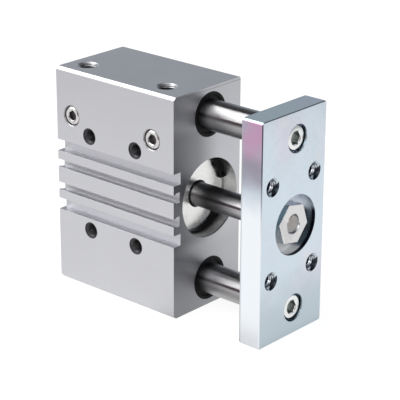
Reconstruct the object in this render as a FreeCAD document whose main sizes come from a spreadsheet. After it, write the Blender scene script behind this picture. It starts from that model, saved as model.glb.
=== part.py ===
import FreeCAD, Part
import os
import re

import Sketcher

# Guided pneumatic cylinder: a double-acting piston in an extruded housing, and a tool plate that two
# guide rods keep square.  Millimetres.  +X is the stroke, towards the tool plate; +Y points away from
# the face with the sensor slots; the housing stands on z = 0.  The origin is the middle of the
# housing's underside.  The carriage is drawn fully extended.

# Driving dimensions: alias, value, meaning.  Everything else is worked out from these.
DIMENSIONS = (
    # travel
    ("stroke", 50.0, "travel of the piston"),
    ("closed_gap", 4.0, "housing to tool plate when retracted"),
    ("end_clearance", 0.2, "bumper to cap at each end of the stroke"),
    # fits, all radial
    ("running_fit", 0.05, "rod in its bush or wiper"),
    ("sliding_fit", 0.08, "piston seals and wear ring in the bore"),
    ("seat_fit", 0.1, "fixed piece in its seat"),
    # housing extrusion
    ("housing_depth", 63.6, "housing size across the slot face"),
    ("housing_height", 149.0, "housing size along Z"),
    ("slot_edge_chamfer", 2.0, "long edges of the slot face"),
    ("back_edge_chamfer", 1.0, "long edges of the flat face"),
    ("axis_offset", 2.7, "bore axis behind the middle of the housing"),
    ("guide_edge", 18.4, "guide rod axes inside the two ends of the housing"),
    # sensor slots and plain grooves
    ("centre_land", 10.8, "land between the two sensor slots"),
    ("slot_mouth", 5.4, "opening of a sensor slot"),
    ("slot_undercut", 0.8, "slot wider than its mouth, each side"),
    ("slot_lip", 1.8, "thickness of the lip at the slot mouth"),
    ("slot_depth", 5.5, "depth of a sensor slot"),
    ("slot_rib", 5.9, "rib between a slot and a plain groove"),
    ("groove_width", 8.0, "plain groove"),
    ("groove_depth", 6.4, "plain groove"),
    # cylinder bore and caps
    ("bore_diameter", 50.0, "cylinder bore"),
    ("seat_diameter", 52.6, "seats of the two caps"),
    ("cap_recess", 10.5, "bearing cap face behind the housing face"),
    ("cap_length", 13.0, "bearing cap"),
    ("cap_flange", 6.5, "part of the bearing cap in its seat"),
    ("cap_hub_diameter", 40.0, "nose of the bearing cap, free of the bore for air"),
    ("cap_edge_chamfer", 1.0, "rim of the bearing cap"),
    ("rear_cap_length", 6.0, "rear cap"),
    ("rear_recess", 3.6, "rear cap face inside the rear face"),
    ("ring_thickness", 2.0, "retaining ring"),
    ("ring_play", 0.1, "retaining ring in its groove"),
    ("ring_groove_diameter", 55.0, "groove of a retaining ring"),
    ("ring_inner_diameter", 44.4, "inner edge of a retaining ring"),
    ("ring_inner_offset", 2.6, "that edge set away from the gap"),
    ("ring_gap", 11.0, "between the ends of a retaining ring"),
    ("ring_eye_diameter", 2.5, "plier holes"),
    ("ring_eye_radius", 22.6, "plier holes from the axis"),
    ("ring_eye_inset", 2.6, "plier hole from the end of the ring"),
    ("o_ring_section", 2.0, "static seals of the caps"),
    # piston rod, its bush and seal
    ("rod_diameter", 16.0, "piston rod"),
    ("rod_spigot_diameter", 12.0, "threaded ends of the piston rod"),
    ("bush_wall", 1.0, "rod bush"),
    ("bush_length", 7.8, "rod bush"),
    ("seal_groove_diameter", 23.0, "rod seal groove"),
    ("seal_lip_wall", 0.95, "rod seal lip at the cap face"),
    ("seal_cover", 1.0, "cap wall in front of the rod seal"),
    # piston
    ("piston_length", 20.0, "piston with both bumpers"),
    ("piston_clearance", 0.2, "piston metal in the bore, radial"),
    ("bumper_thickness", 1.5, "elastic bumper ring"),
    ("bumper_diameter", 38.0, "elastic bumper ring"),
    ("bumper_bore", 26.0, "elastic bumper ring"),
    ("piston_boss_diameter", 40.0, "rear boss of the piston, free of the bore for air"),
    ("piston_boss_length", 4.0, "rear boss of the piston"),
    ("piston_land", 1.0, "land at each end of the seal groove"),
    ("piston_groove_diameter", 39.8, "floor of the seal groove"),
    ("lip_seal_width", 3.0, "piston seal"),
    ("lip_seal_taper", 0.6, "heel of the piston seal below its lip"),
    ("ring_gap_axial", 0.1, "between the rings in the piston groove"),
    ("magnet_wall", 2.8, "magnet ring"),
    ("piston_nut_flats", 19.0, "hexagon of the piston nut"),
    ("piston_nut_height", 6.0, "piston nut"),
    ("piston_nut_recess", 25.0, "room for the piston nut"),
    # guides
    ("guide_diameter", 20.0, "guide rods"),
    ("guide_end_margin", 1.9, "guide rod end inside the rear face when retracted"),
    ("guide_chamfer", 1.5, "rear end of a guide rod"),
    ("guide_bore_diameter", 24.0, "housing behind the ball bearings"),
    ("bearing_diameter", 28.0, "seat of a linear ball bearing"),
    ("bearing_length", 30.0, "linear ball bearing"),
    ("bearing_sleeve_wall", 1.2, "steel sleeve of the ball bearing"),
    ("track_count", 5.0, "ball tracks round a cage"),
    ("track_width", 3.4, "ball track"),
    ("track_end", 3.0, "cage left at each end of a track"),
    ("wiper_diameter", 29.4, "guide wiper"),
    ("wiper_depth", 6.0, "seat of a guide wiper"),
    ("wiper_lip_step", 0.9, "lip behind the wiper's rim"),
    ("wiper_rim", 2.0, "width of the wiper's rim"),
    # tool plate
    ("plate_thickness", 16.0, "tool plate along X"),
    ("plate_side_setback", 1.0, "tool plate inside the sides of the housing"),
    ("plate_end_setback", 0.65, "tool plate inside the two ends of the housing"),
    ("plate_corner_chamfer", 1.2, "corners of the tool plate"),
    ("plate_face_chamfer", 0.5, "edges of the tool plate's front face"),
    ("tool_spacing_across", 40.6, "tool threads along Y"),
    ("tool_spacing_up", 61.5, "tool threads along Z"),
    ("tool_thread_core", 8.5, "tool threads, M10"),
    ("tool_thread_mouth", 12.2, "countersinks of the tool threads"),
    ("guide_seat_depth", 3.0, "guide rod in the back of the plate"),
    # fastening of the tool plate
    ("screw_head_diameter", 16.0, "plate screw, M10 low head"),
    ("screw_head_height", 6.5, "plate screw"),
    ("screw_head_sink", 1.3, "screw head below the plate face"),
    ("screw_pocket_diameter", 18.5, "counterbore for the screw head"),
    ("screw_socket_flats", 8.0, "hexagon socket of the screw"),
    ("screw_socket_depth", 3.6, "hexagon socket of the screw"),
    ("screw_diameter", 10.0, "plate screw shank"),
    ("screw_length", 30.0, "plate screw under the head"),
    ("screw_hole_play", 0.25, "screw in the plate, radial"),
    ("screw_run_out", 5.0, "thread in the guide rod beyond the screw"),
    ("rod_nut_flats", 24.5, "hexagon of the rod nut"),
    ("rod_nut_height", 7.0, "rod nut"),
    ("rod_nut_sink", 1.5, "nut face below the plate face"),
    ("rod_nut_turn", 48.5, "angle of the nut's first corner from +Y"),
    ("rod_nut_countersink", 0.6, "mouth of the nut's thread"),
    ("nut_pocket_diameter", 39.0, "counterbore for the rod nut"),
    ("spigot_end_sink", 2.3, "end of the piston rod below the plate face"),
    # mounting holes through the housing
    ("mount_front_inset", 33.3, "front pair of mounting holes behind the front face"),
    ("mount_spacing_along", 40.7, "mounting holes along X"),
    ("mount_spacing_up", 65.5, "mounting holes along Z"),
    ("mount_hole_core", 8.5, "mounting holes, M10 thread in a through hole"),
    ("mount_hole_mouth", 11.2, "countersinks of the mounting holes"),
    # air ports
    ("port_core", 11.445, "G 1/4 thread, inner diameter"),
    ("port_thread", 13.2, "G 1/4 thread, outer diameter, filled by the plug"),
    ("port_mouth", 14.4, "countersink of a port"),
    ("port_depth", 10.5, "thread depth of a port"),
    ("port_inset", 15.6, "top ports behind the slot face"),
    ("top_port_front", 20.1, "front top port behind the front face"),
    ("side_port_front", 18.8, "front side port behind the front face"),
    ("port_rear", 13.5, "rear ports in front of the rear face"),
    ("side_port_rise", 43.3, "side ports above the bore axis"),
    ("channel_diameter", 5.0, "air channels"),
    ("plug_length", 8.0, "port plug"),
    ("plug_sink", 0.4, "plug face below the slot face"),
    ("plug_socket_flats", 6.0, "hexagon socket of the plug"),
    ("plug_socket_depth", 4.0, "hexagon socket of the plug"),
)
ALIASES = {alias for alias, _, _ in DIMENSIONS}

doc = FreeCAD.newDocument("guided_cylinder")
sheet = doc.addObject("Spreadsheet::Sheet", "Dims")
for row, (alias, size, meaning) in enumerate(DIMENSIONS, start=1):
    sheet.set(f"A{row}", meaning)
    sheet.set(f"B{row}", str(size))
    sheet.setAlias(f"B{row}", alias)
doc.recompute()

subparts = []

# Lengths and places that follow from the driving dimensions, as expressions in their aliases.
CAPS_LENGTH = "(cap_recess + cap_length + rear_cap_length + rear_recess)"
HOUSING_LENGTH = f"({CAPS_LENGTH} + piston_length + stroke + 2*end_clearance)"
FRONT = f"({HOUSING_LENGTH}/2)"
AXIS_UP = "(housing_height/2)"
GUIDE_RISE = f"({AXIS_UP} - guide_edge)"
UPPER_GUIDE = f"({AXIS_UP} + {GUIDE_RISE})"
LOWER_GUIDE = f"({AXIS_UP} - {GUIDE_RISE})"
PLATE_BACK = f"({FRONT} + closed_gap + stroke)"
CAP_FACE = f"({FRONT} - cap_recess)"
PISTON_FACE = f"({CAP_FACE} - cap_length - end_clearance)"
REAR_CAP_FACE = f"({PISTON_FACE} - piston_length - stroke - end_clearance)"
GUIDE_TAIL = f"({HOUSING_LENGTH} - stroke - guide_end_margin)"
SCREW_POCKET_DEPTH = "(screw_head_height + screw_head_sink)"
NUT_POCKET_DEPTH = "(rod_nut_height + rod_nut_sink)"
PISTON_BODY = "(piston_length - 2*bumper_thickness)"


def bound(expression):
    """The same expression with every alias looked up in the sheet."""
    return re.sub(
        r"[a-z][a-z0-9_]*", lambda word: f"Dims.{word[0]}" if word[0] in ALIASES else word[0], expression
    )


def worth(expression):
    """The value that an expression has now."""
    return float(sheet.evalExpression(bound(expression)))


def new_body(label):
    """An empty body with its own label."""
    body = doc.addObject("PartDesign::Body", label)
    body.Label = label
    return body


def place(piece, along="0", across="0", up="0"):
    """Bind a piece's place to the sheet."""
    for axis, expression in (("x", along), ("y", across), ("z", up)):
        piece.setExpression(f"Placement.Base.{axis}", bound(expression))


def sketch(body, name, plane, offset="0"):
    """A sketch on one of the body's own origin planes, moved along that plane's normal."""
    drawn = body.newObject("Sketcher::SketchObject", name)
    origin_plane = [part for part in body.Origin.OriginFeatures if part.Role == plane][0]
    drawn.AttachmentSupport = [(origin_plane, "")]
    drawn.MapMode = "FlatFace"
    drawn.setExpression("AttachmentOffset.Base.z", bound(offset))
    return drawn


def pin(drawn, geometry, point, across, up):
    """Hold one point of a sketch at a place that the sheet drives."""
    for kind, axis, expression in (("DistanceX", -2, across), ("DistanceY", -1, up)):
        if expression == "0":
            drawn.addConstraint(Sketcher.Constraint("PointOnObject", geometry, point, axis))
            continue
        index = drawn.addConstraint(
            Sketcher.Constraint(kind, -1, 1, geometry, point, worth(expression))
        )
        drawn.setExpression(f"Constraints[{index}]", bound(expression))


def outline(drawn, corners):
    """A closed run of straight lines through corners given as pairs of expressions."""
    first = drawn.GeometryCount
    count = len(corners)
    spots = [FreeCAD.Vector(worth(across), worth(up), 0) for across, up in corners]
    for i, spot in enumerate(spots):
        drawn.addGeometry(Part.LineSegment(spot, spots[(i + 1) % count]), False)
    for i in range(count):
        following = first + (i + 1) % count
        drawn.addConstraint(Sketcher.Constraint("Coincident", first + i, 2, following, 1))
    for i, (across, up) in enumerate(corners):
        pin(drawn, first + i, 1, across, up)


def circle(drawn, diameter, across="0", up="0"):
    """A circle whose centre and diameter the sheet drives."""
    centre = FreeCAD.Vector(worth(across), worth(up), 0)
    index = drawn.addGeometry(Part.Circle(centre, FreeCAD.Vector(0, 0, 1), worth(diameter) / 2), False)
    pin(drawn, index, 3, across, up)
    size = drawn.addConstraint(Sketcher.Constraint("Diameter", index, worth(diameter)))
    drawn.setExpression(f"Constraints[{size}]", bound(diameter))


def hexagon(drawn, flats, turn="0"):
    """A regular hexagon by its width across the flats."""
    corners = []
    for i in range(6):
        angle = f"({turn} + {60 * i})"
        corners.append((f"{flats}/sqrt(3)*cos({angle})", f"{flats}/sqrt(3)*sin({angle})"))
    outline(drawn, corners)


def pad(body, drawn, length, both_ways=False):
    """Extrude a sketch."""
    feature = body.newObject("PartDesign::Pad", drawn.Name + "_pad")
    feature.Profile = drawn
    feature.Midplane = both_ways
    feature.setExpression("Length", bound(length))
    return feature


def checked_cut(body, feature, base=None):
    """Recompute after a cut, and stop if it took nothing away from the feature before it."""
    before = (base or feature.BaseFeature).Shape.Volume
    doc.recompute()
    if not feature.Shape.Volume < before - 1e-6:
        raise RuntimeError(f"{feature.Name} cuts nothing from {body.Label}")
    return feature


def pocket(body, drawn, depth, backwards=False):
    """Cut a sketch into the body, against the sketch's normal unless backwards."""
    doc.recompute()
    feature = body.newObject("PartDesign::Pocket", drawn.Name + "_pocket")
    feature.Profile = drawn
    feature.Reversed = backwards
    feature.setExpression("Length", bound(depth))
    return checked_cut(body, feature)


def drill(body, drawn, diameter, depth=None, mouth=None, step=None, backwards=False):
    """Drill every circle of a sketch: through or to a depth, with a countersink or a counterbore."""
    doc.recompute()
    hole = body.newObject("PartDesign::Hole", drawn.Name + "_holes")
    hole.Profile = drawn
    hole.Reversed = backwards
    hole.setExpression("Diameter", bound(diameter))
    hole.DrillPoint = "Flat"
    hole.DepthType = "Dimension" if depth else "ThroughAll"
    if depth:
        hole.setExpression("Depth", bound(depth))
    if mouth:
        hole.HoleCutType = "Counterbore" if step else "Countersink"
        hole.setExpression("HoleCutDiameter", bound(mouth))
        if step:
            hole.setExpression("HoleCutDepth", bound(step))
        else:
            hole.HoleCutCountersinkAngle = 90
    return checked_cut(body, hole)


def turned(label, profile, along, across="axis_offset", up=AXIS_UP):
    """A body of revolution about its own X axis, from corners given as (along, radius)."""
    body = new_body(label)
    drawn = sketch(body, label + "_profile", "XZ_Plane")
    outline(drawn, profile)
    feature = body.newObject("PartDesign::Revolution", label + "_turned")
    feature.Profile = drawn
    feature.ReferenceAxis = (drawn, ["H_Axis"])
    feature.Angle = 360
    place(body, along, across, up)
    doc.recompute()
    return body


def ring(label, outer, inner, length, along, up=AXIS_UP):
    """A plain ring of square section; its front face is at its place, the rest lies behind."""
    profile = [("0", inner), ("0", outer), (f"-{length}", outer), (f"-{length}", inner)]
    return turned(label, profile, along, up=up)


def group(label, pieces):
    """Equal pieces that share one sub-part as separate solids."""
    gathered = doc.addObject("Part::Compound", label)
    gathered.Label = label
    gathered.Links = pieces
    return gathered


# ---------------------------------------------------------------- housing


def slot_face_half():
    """Upper half of the slotted face, from the centre land to the top edge, as (across, up)."""
    face = "-housing_depth/2"
    lip = f"{face} + slot_lip"
    slot_floor = f"{face} + slot_depth"
    groove_floor = f"{face} + groove_depth"
    slot_low = "centre_land/2"
    slot_high = f"{slot_low} + slot_mouth"
    groove_low = f"{slot_high} + slot_rib"
    groove_high = f"{groove_low} + groove_width"
    return [
        (face, slot_low),
        (lip, slot_low),
        (lip, f"{slot_low} - slot_undercut"),
        (slot_floor, f"{slot_low} - slot_undercut"),
        (slot_floor, f"{slot_high} + slot_undercut"),
        (lip, f"{slot_high} + slot_undercut"),
        (lip, slot_high),
        (face, slot_high),
        (face, groove_low),
        (groove_floor, groove_low),
        (groove_floor, groove_high),
        (face, groove_high),
        (face, "housing_height/2 - slot_edge_chamfer"),
        (f"{face} + slot_edge_chamfer", "housing_height/2"),
    ]


def extrusion_outline():
    """The whole section of the extrusion, the upper half mirrored for the lower one."""
    upper = slot_face_half() + [
        ("housing_depth/2 - back_edge_chamfer", "housing_height/2"),
        ("housing_depth/2", "housing_height/2 - back_edge_chamfer"),
    ]
    lower = [(across, f"-({up})") for across, up in reversed(upper)]
    return upper + lower


def groove_about(body, name, corners, axis_up="0"):
    """Turn a stepped bore out of the housing along X, at axis_up above the middle."""
    drawn = sketch(body, name, "XZ_Plane", "-axis_offset")
    outline(drawn, [(along, f"{axis_up} + {radius}") for along, radius in corners])
    feature = body.newObject("PartDesign::Groove", name + "_bore")
    feature.Profile = drawn
    if axis_up == "0":
        feature.ReferenceAxis = (drawn, ["H_Axis"])
    else:
        rear = FreeCAD.Vector(worth(f"-{FRONT}"), worth(axis_up), 0)
        front = FreeCAD.Vector(worth(FRONT), worth(axis_up), 0)
        index = drawn.addGeometry(Part.LineSegment(rear, front), True)
        pin(drawn, index, 1, f"-{FRONT}", axis_up)
        pin(drawn, index, 2, FRONT, axis_up)
        feature.ReferenceAxis = (drawn, ["Axis0"])
    feature.Angle = 360
    return checked_cut(body, feature)


def cut_cylinder_bore(body):
    """Bore, cap seats and retaining ring grooves in one turned profile."""
    bore = "bore_diameter/2"
    seat = "seat_diameter/2"
    groove = "ring_groove_diameter/2"
    ring_room = "ring_thickness + ring_play"
    rear = f"-{FRONT}"
    rear_seat = f"{rear} + rear_recess"
    front_seat = f"{FRONT} - cap_recess"
    corners = [
        (rear, "0"),
        (rear, seat),
        (f"{rear_seat} - ({ring_room})", seat),
        (f"{rear_seat} - ({ring_room})", groove),
        (rear_seat, groove),
        (rear_seat, seat),
        (f"{rear_seat} + rear_cap_length", seat),
        (f"{rear_seat} + rear_cap_length", bore),
        (f"{front_seat} - cap_flange", bore),
        (f"{front_seat} - cap_flange", seat),
        (front_seat, seat),
        (front_seat, groove),
        (f"{front_seat} + {ring_room}", groove),
        (f"{front_seat} + {ring_room}", seat),
        (FRONT, seat),
        (FRONT, "0"),
    ]
    groove_about(body, "cylinder_bore", corners)


def cut_guide_bores(body):
    """Wiper seat, bearing seat and relief for the upper guide, mirrored for the lower one."""
    corners = [
        (f"-{FRONT}", "0"),
        (f"-{FRONT}", "guide_bore_diameter/2"),
        (f"{FRONT} - wiper_depth - bearing_length", "guide_bore_diameter/2"),
        (f"{FRONT} - wiper_depth - bearing_length", "bearing_diameter/2"),
        (f"{FRONT} - wiper_depth", "bearing_diameter/2"),
        (f"{FRONT} - wiper_depth", "wiper_diameter/2 + seat_fit"),
        (FRONT, "wiper_diameter/2 + seat_fit"),
        (FRONT, "0"),
    ]
    upper = groove_about(body, "guide_bore", corners, GUIDE_RISE)
    mirrored = body.newObject("PartDesign::Mirrored", "guide_bores")
    mirrored.Originals = [upper]
    middle = [part for part in body.Origin.OriginFeatures if part.Role == "XY_Plane"][0]
    mirrored.MirrorPlane = (middle, [""])
    body.Tip = mirrored
    checked_cut(body, mirrored, upper)


def cut_mounting_holes(body):
    """Four threaded holes right through, countersunk on both faces."""
    stations = (
        f"{FRONT} - mount_front_inset",
        f"{FRONT} - mount_front_inset - mount_spacing_along",
    )
    sides = (("slot", "housing_depth/2", False), ("back", "-housing_depth/2", True))
    for face, offset, backwards in sides:
        drawn = sketch(body, f"mounting_{face}_side", "XZ_Plane", offset)
        for along in stations:
            for up in ("mount_spacing_up/2", "-mount_spacing_up/2"):
                circle(drawn, "mount_hole_core", along, up)
        depth = "mount_hole_mouth/4" if backwards else None
        drill(body, drawn, "mount_hole_core", depth, mouth="mount_hole_mouth", backwards=backwards)


def cut_ports(body):
    """Top and side ports at both ends, and the channels that lead from them to the bore."""
    rear_station = f"-{FRONT} + port_rear"
    top_stations = (f"{FRONT} - top_port_front", rear_station)
    side_stations = (f"{FRONT} - side_port_front", rear_station)
    across = "-housing_depth/2 + port_inset"

    top = sketch(body, "top_ports", "XY_Plane", "housing_height/2")
    for along in top_stations:
        circle(top, "port_core", along, across)
    drill(body, top, "port_core", "port_depth", mouth="port_mouth")

    side = sketch(body, "side_ports", "XZ_Plane", "housing_depth/2")
    for along in side_stations:
        circle(side, "port_thread", along, "side_port_rise")
    drill(body, side, "port_thread", "port_depth", mouth="port_mouth")

    down = sketch(body, "down_channels", "XY_Plane", "housing_height/2 - port_depth")
    for along in top_stations:
        circle(down, "channel_diameter", along, across)
    pocket(body, down, "housing_height/2 - port_depth - bore_diameter/4")

    cross = sketch(body, "cross_channels", "XZ_Plane", "housing_depth/2 - port_depth")
    for along in side_stations:
        circle(cross, "channel_diameter", along, "side_port_rise")
    pocket(body, cross, "port_inset - port_depth")


def make_housing():
    """The extruded and machined housing."""
    body = new_body("housing")
    section = sketch(body, "extrusion_section", "YZ_Plane")
    outline(section, extrusion_outline())
    pad(body, section, HOUSING_LENGTH, both_ways=True)
    place(body, "0", "0", AXIS_UP)
    doc.recompute()
    cut_cylinder_bore(body)
    cut_guide_bores(body)
    cut_mounting_holes(body)
    cut_ports(body)
    subparts.append(body)


# ---------------------------------------------------------------- pieces fixed in the housing


def make_caps():
    """Bearing cap with its seal groove, and the rear cap; both hold an O-ring."""
    rim = "(seat_diameter/2 - seat_fit)"
    floor = f"({rim} - o_ring_section)"
    seal = "seal_groove_diameter/2"
    bush = "(rod_diameter/2 + running_fit + bush_wall)"
    groove_front = "(cap_flange/2 - o_ring_section/2 - ring_play)"
    groove_back = "(cap_flange/2 + o_ring_section/2 + ring_play)"
    bearing_cap = [
        ("0", f"{bush} + seat_fit"),
        ("0", f"{rim} - cap_edge_chamfer"),
        ("-cap_edge_chamfer", rim),
        (f"-{groove_front}", rim),
        (f"-{groove_front}", floor),
        (f"-{groove_back}", floor),
        (f"-{groove_back}", rim),
        ("-cap_flange", rim),
        ("-cap_flange", "cap_hub_diameter/2"),
        ("-cap_length", "cap_hub_diameter/2"),
        ("-cap_length", bush),
        ("-cap_length + bush_length", bush),
        ("-cap_length + bush_length", seal),
        ("-seal_cover", seal),
        ("-seal_cover", f"{bush} + seat_fit"),
    ]
    subparts.append(turned("bearing_cap", bearing_cap, CAP_FACE))

    rear_front = "(rear_cap_length/2 - o_ring_section/2 - ring_play)"
    rear_back = "(rear_cap_length/2 + o_ring_section/2 + ring_play)"
    rear_cap = [
        ("0", "0"),
        ("0", rim),
        (f"-{rear_front}", rim),
        (f"-{rear_front}", floor),
        (f"-{rear_back}", floor),
        (f"-{rear_back}", rim),
        ("-rear_cap_length", rim),
        ("-rear_cap_length", "0"),
    ]
    subparts.append(turned("rear_cap", rear_cap, REAR_CAP_FACE))

    sections = (
        ("front_o_ring", f"{CAP_FACE} - {groove_front} - ring_play"),
        ("rear_o_ring", f"{REAR_CAP_FACE} - {rear_front} - ring_play"),
    )
    rings = [ring(name, rim, floor, "o_ring_section", along) for name, along in sections]
    subparts.append(group("cap_o_rings", rings))


def retaining_ring(label, along):
    """Internal retaining ring: wide at its two eyes, slim opposite them, gap towards +Y."""
    body = new_body(label)
    blank = sketch(body, label + "_blank", "YZ_Plane")
    circle(blank, "ring_groove_diameter - 2*seat_fit")
    circle(blank, "ring_inner_diameter", "-ring_inner_offset")
    pad(body, blank, "ring_thickness")
    gap = sketch(body, label + "_gap", "YZ_Plane", "ring_thickness")
    half = "ring_gap/2"
    far = "seat_diameter"
    outline(gap, [("0", f"-{half}"), (far, f"-{half}"), (far, half), ("0", half)])
    pocket(body, gap, "ring_thickness")
    eyes = sketch(body, label + "_eyes", "YZ_Plane", "ring_thickness")
    eye_up = f"({half} + ring_eye_inset)"
    eye_across = f"sqrt(ring_eye_radius^2 - {eye_up}^2)"
    for up in (eye_up, f"-{eye_up}"):
        circle(eyes, "ring_eye_diameter", eye_across, up)
    pocket(body, eyes, "ring_thickness")
    place(body, along, "axis_offset", AXIS_UP)
    doc.recompute()
    return body


def make_retaining_rings():
    """One ring holds each cap from outside."""
    rear = f"-{FRONT} + rear_recess - ring_thickness"
    rings = [retaining_ring("front_ring", CAP_FACE), retaining_ring("rear_ring", rear)]
    subparts.append(group("retaining_rings", rings))


def make_rod_guide():
    """Bush and wiping seal of the piston rod, both in the bearing cap."""
    bore = "(rod_diameter/2 + running_fit)"
    bush_front = f"{CAP_FACE} - cap_length + bush_length"
    subparts.append(ring("rod_bush", f"{bore} + bush_wall", bore, "bush_length", bush_front))
    back = "(-cap_length + bush_length + seat_fit)"
    lip = f"({bore} + seal_lip_wall)"
    shoulder = "(-seal_cover - seat_fit)"
    body_radius = "(seal_groove_diameter/2 - seat_fit)"
    seal = [
        (back, f"{bore} + seat_fit"),
        (back, body_radius),
        (shoulder, body_radius),
        (shoulder, lip),
        ("-seat_fit", lip),
        ("-seat_fit", bore),
        (shoulder, bore),
    ]
    subparts.append(turned("rod_seal", seal, CAP_FACE))


def make_guides():
    """Wiper, steel sleeve and ball cage for each guide rod."""
    lip_bore = "(guide_diameter/2 + running_fit)"
    rim = "(wiper_diameter/2 - wiper_rim)"
    wiper = [
        ("0", "wiper_diameter/2"),
        ("0", rim),
        ("-wiper_lip_step", f"{rim} - wiper_lip_step/2"),
        ("-wiper_lip_step", lip_bore),
        ("-2*wiper_lip_step", lip_bore),
        ("-wiper_depth + seat_fit", f"{lip_bore} + wiper_rim"),
        ("-wiper_depth + seat_fit", "wiper_diameter/2"),
    ]
    sides = (("upper", UPPER_GUIDE), ("lower", LOWER_GUIDE))
    wiper_face = f"{FRONT} - seat_fit"
    wipers = [turned(f"{side}_wiper", wiper, wiper_face, up=up) for side, up in sides]
    subparts.append(group("guide_wipers", wipers))

    outer = "(bearing_diameter/2 - running_fit)"
    inner = f"({outer} - bearing_sleeve_wall)"
    back_of_wiper = f"{FRONT} - wiper_depth"
    sleeve = (outer, inner, "bearing_length", back_of_wiper)
    sleeves = [ring(f"{side}_sleeve", *sleeve, up) for side, up in sides]
    subparts.append(group("bearing_sleeves", sleeves))

    cages = []
    cage_bore = "guide_diameter/2 + 2*running_fit"
    for side, up in sides:
        cage = ring(f"{side}_cage", f"{inner} - seat_fit", cage_bore, "bearing_length", back_of_wiper, up)
        track = sketch(cage, f"{side}_track", "XY_Plane", inner)
        near = "-track_end"
        far = "-bearing_length + track_end"
        half = "track_width/2"
        outline(track, [(near, f"-{half}"), (near, half), (far, half), (far, f"-{half}")])
        first = pocket(cage, track, inner)
        pattern = cage.newObject("PartDesign::PolarPattern", f"{side}_tracks")
        pattern.Originals = [first]
        along_axis = [part for part in cage.Origin.OriginFeatures if part.Role == "X_Axis"][0]
        pattern.Axis = (along_axis, [""])
        pattern.Angle = 360
        pattern.setExpression("Occurrences", bound("track_count"))
        cage.Tip = pattern
        checked_cut(cage, pattern, first)
        cages.append(cage)
    subparts.append(group("ball_cages", cages))


def make_port_plugs():
    """Screw plugs with a hexagon socket in the two side ports."""
    plugs = []
    stations = (
        ("front", f"{FRONT} - side_port_front"),
        ("rear", f"-{FRONT} + port_rear"),
    )
    for end, along in stations:
        plug = new_body(f"{end}_plug")
        disc = sketch(plug, f"{end}_plug_disc", "XZ_Plane", "-plug_length")
        circle(disc, "port_thread - 2*seat_fit")
        pad(plug, disc, "plug_length")
        socket = sketch(plug, f"{end}_plug_socket", "XZ_Plane")
        hexagon(socket, "plug_socket_flats", "30")
        pocket(plug, socket, "plug_socket_depth")
        place(plug, along, "-housing_depth/2 + plug_sink", f"{AXIS_UP} + side_port_rise")
        plugs.append(plug)
    subparts.append(group("port_plugs", plugs))


# ---------------------------------------------------------------- carriage


def make_tool_plate():
    """Tool plate: tool threads, counterbores for the nut and the two screws, seats for the guide rods."""
    body = new_body("tool_plate")
    across = "housing_depth/2 - plate_side_setback"
    up = f"{AXIS_UP} - plate_end_setback"
    inner_across = f"{across} - plate_corner_chamfer"
    inner_up = f"{up} - plate_corner_chamfer"
    quarter = [(across, inner_up), (inner_across, up)]
    left = [(f"-({y})", z) for y, z in reversed(quarter)]
    top = quarter + left
    corners = top + [(y, f"-({z})") for y, z in reversed(top)]
    blank = sketch(body, "plate_blank", "YZ_Plane")
    outline(blank, corners)
    pad(body, blank, "plate_thickness - plate_face_chamfer")
    face = sketch(body, "plate_face", "YZ_Plane", "plate_thickness - plate_face_chamfer")
    outline(face, corners)
    pad(body, face, "plate_face_chamfer").TaperAngle = -45

    tools = sketch(body, "tool_threads", "YZ_Plane", "plate_thickness")
    for y in ("tool_spacing_across/2", "-tool_spacing_across/2"):
        for z in ("tool_spacing_up/2", "-tool_spacing_up/2"):
            circle(tools, "tool_thread_core", y, z)
    drill(body, tools, "tool_thread_core", mouth="tool_thread_mouth")

    guides = (GUIDE_RISE, f"-{GUIDE_RISE}")
    screws = sketch(body, "screw_pockets", "YZ_Plane", "plate_thickness")
    for z in guides:
        circle(screws, "screw_diameter", "axis_offset", z)
    drill(body, screws, "screw_diameter + 2*screw_hole_play",
          mouth="screw_pocket_diameter", step=SCREW_POCKET_DEPTH)

    nut = sketch(body, "nut_pocket", "YZ_Plane", "plate_thickness")
    circle(nut, "rod_spigot_diameter", "axis_offset")
    drill(body, nut, "rod_spigot_diameter + 2*screw_hole_play",
          mouth="nut_pocket_diameter", step=NUT_POCKET_DEPTH)

    seats = sketch(body, "guide_seats", "YZ_Plane")
    for z in guides:
        circle(seats, "guide_diameter + 2*seat_fit", "axis_offset", z)
    pocket(body, seats, "guide_seat_depth", backwards=True)
    place(body, PLATE_BACK, "0", AXIS_UP)
    subparts.append(body)


def make_guide_rods():
    """Hardened guide rods, tapped in front for the plate screws."""
    radius = "guide_diameter/2"
    tail = f"-(closed_gap + stroke + {GUIDE_TAIL})"
    thread = "(screw_diameter/2 + running_fit)"
    thread_floor = f"(plate_thickness - {SCREW_POCKET_DEPTH} - screw_length - screw_run_out)"
    profile = [
        (tail, "0"),
        (tail, f"{radius} - guide_chamfer"),
        (f"{tail} + guide_chamfer", radius),
        ("guide_seat_depth", radius),
        ("guide_seat_depth", thread),
        (thread_floor, thread),
        (thread_floor, "0"),
    ]
    for side, up in (("upper", UPPER_GUIDE), ("lower", LOWER_GUIDE)):
        subparts.append(turned(f"{side}_guide_rod", profile, PLATE_BACK, up=up))


def make_piston_rod():
    """Piston rod with a threaded spigot at each end; its front shoulder meets the tool plate."""
    radius = "rod_diameter/2"
    spigot = "rod_spigot_diameter/2"
    chamfer = "guide_chamfer/2"
    shoulder = f"({PISTON_FACE} - bumper_thickness - {PLATE_BACK})"
    front_end = "(plate_thickness - spigot_end_sink)"
    profile = [
        (f"{shoulder} - {PISTON_BODY}", "0"),
        (f"{shoulder} - {PISTON_BODY}", f"{spigot} - {chamfer}"),
        (f"{shoulder} - {PISTON_BODY} + {chamfer}", spigot),
        (shoulder, spigot),
        (shoulder, radius),
        ("0", radius),
        ("0", spigot),
        (f"{front_end} - {chamfer}", spigot),
        (front_end, f"{spigot} - {chamfer}"),
        (front_end, "0"),
    ]
    subparts.append(turned("piston_rod", profile, PLATE_BACK))


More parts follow.
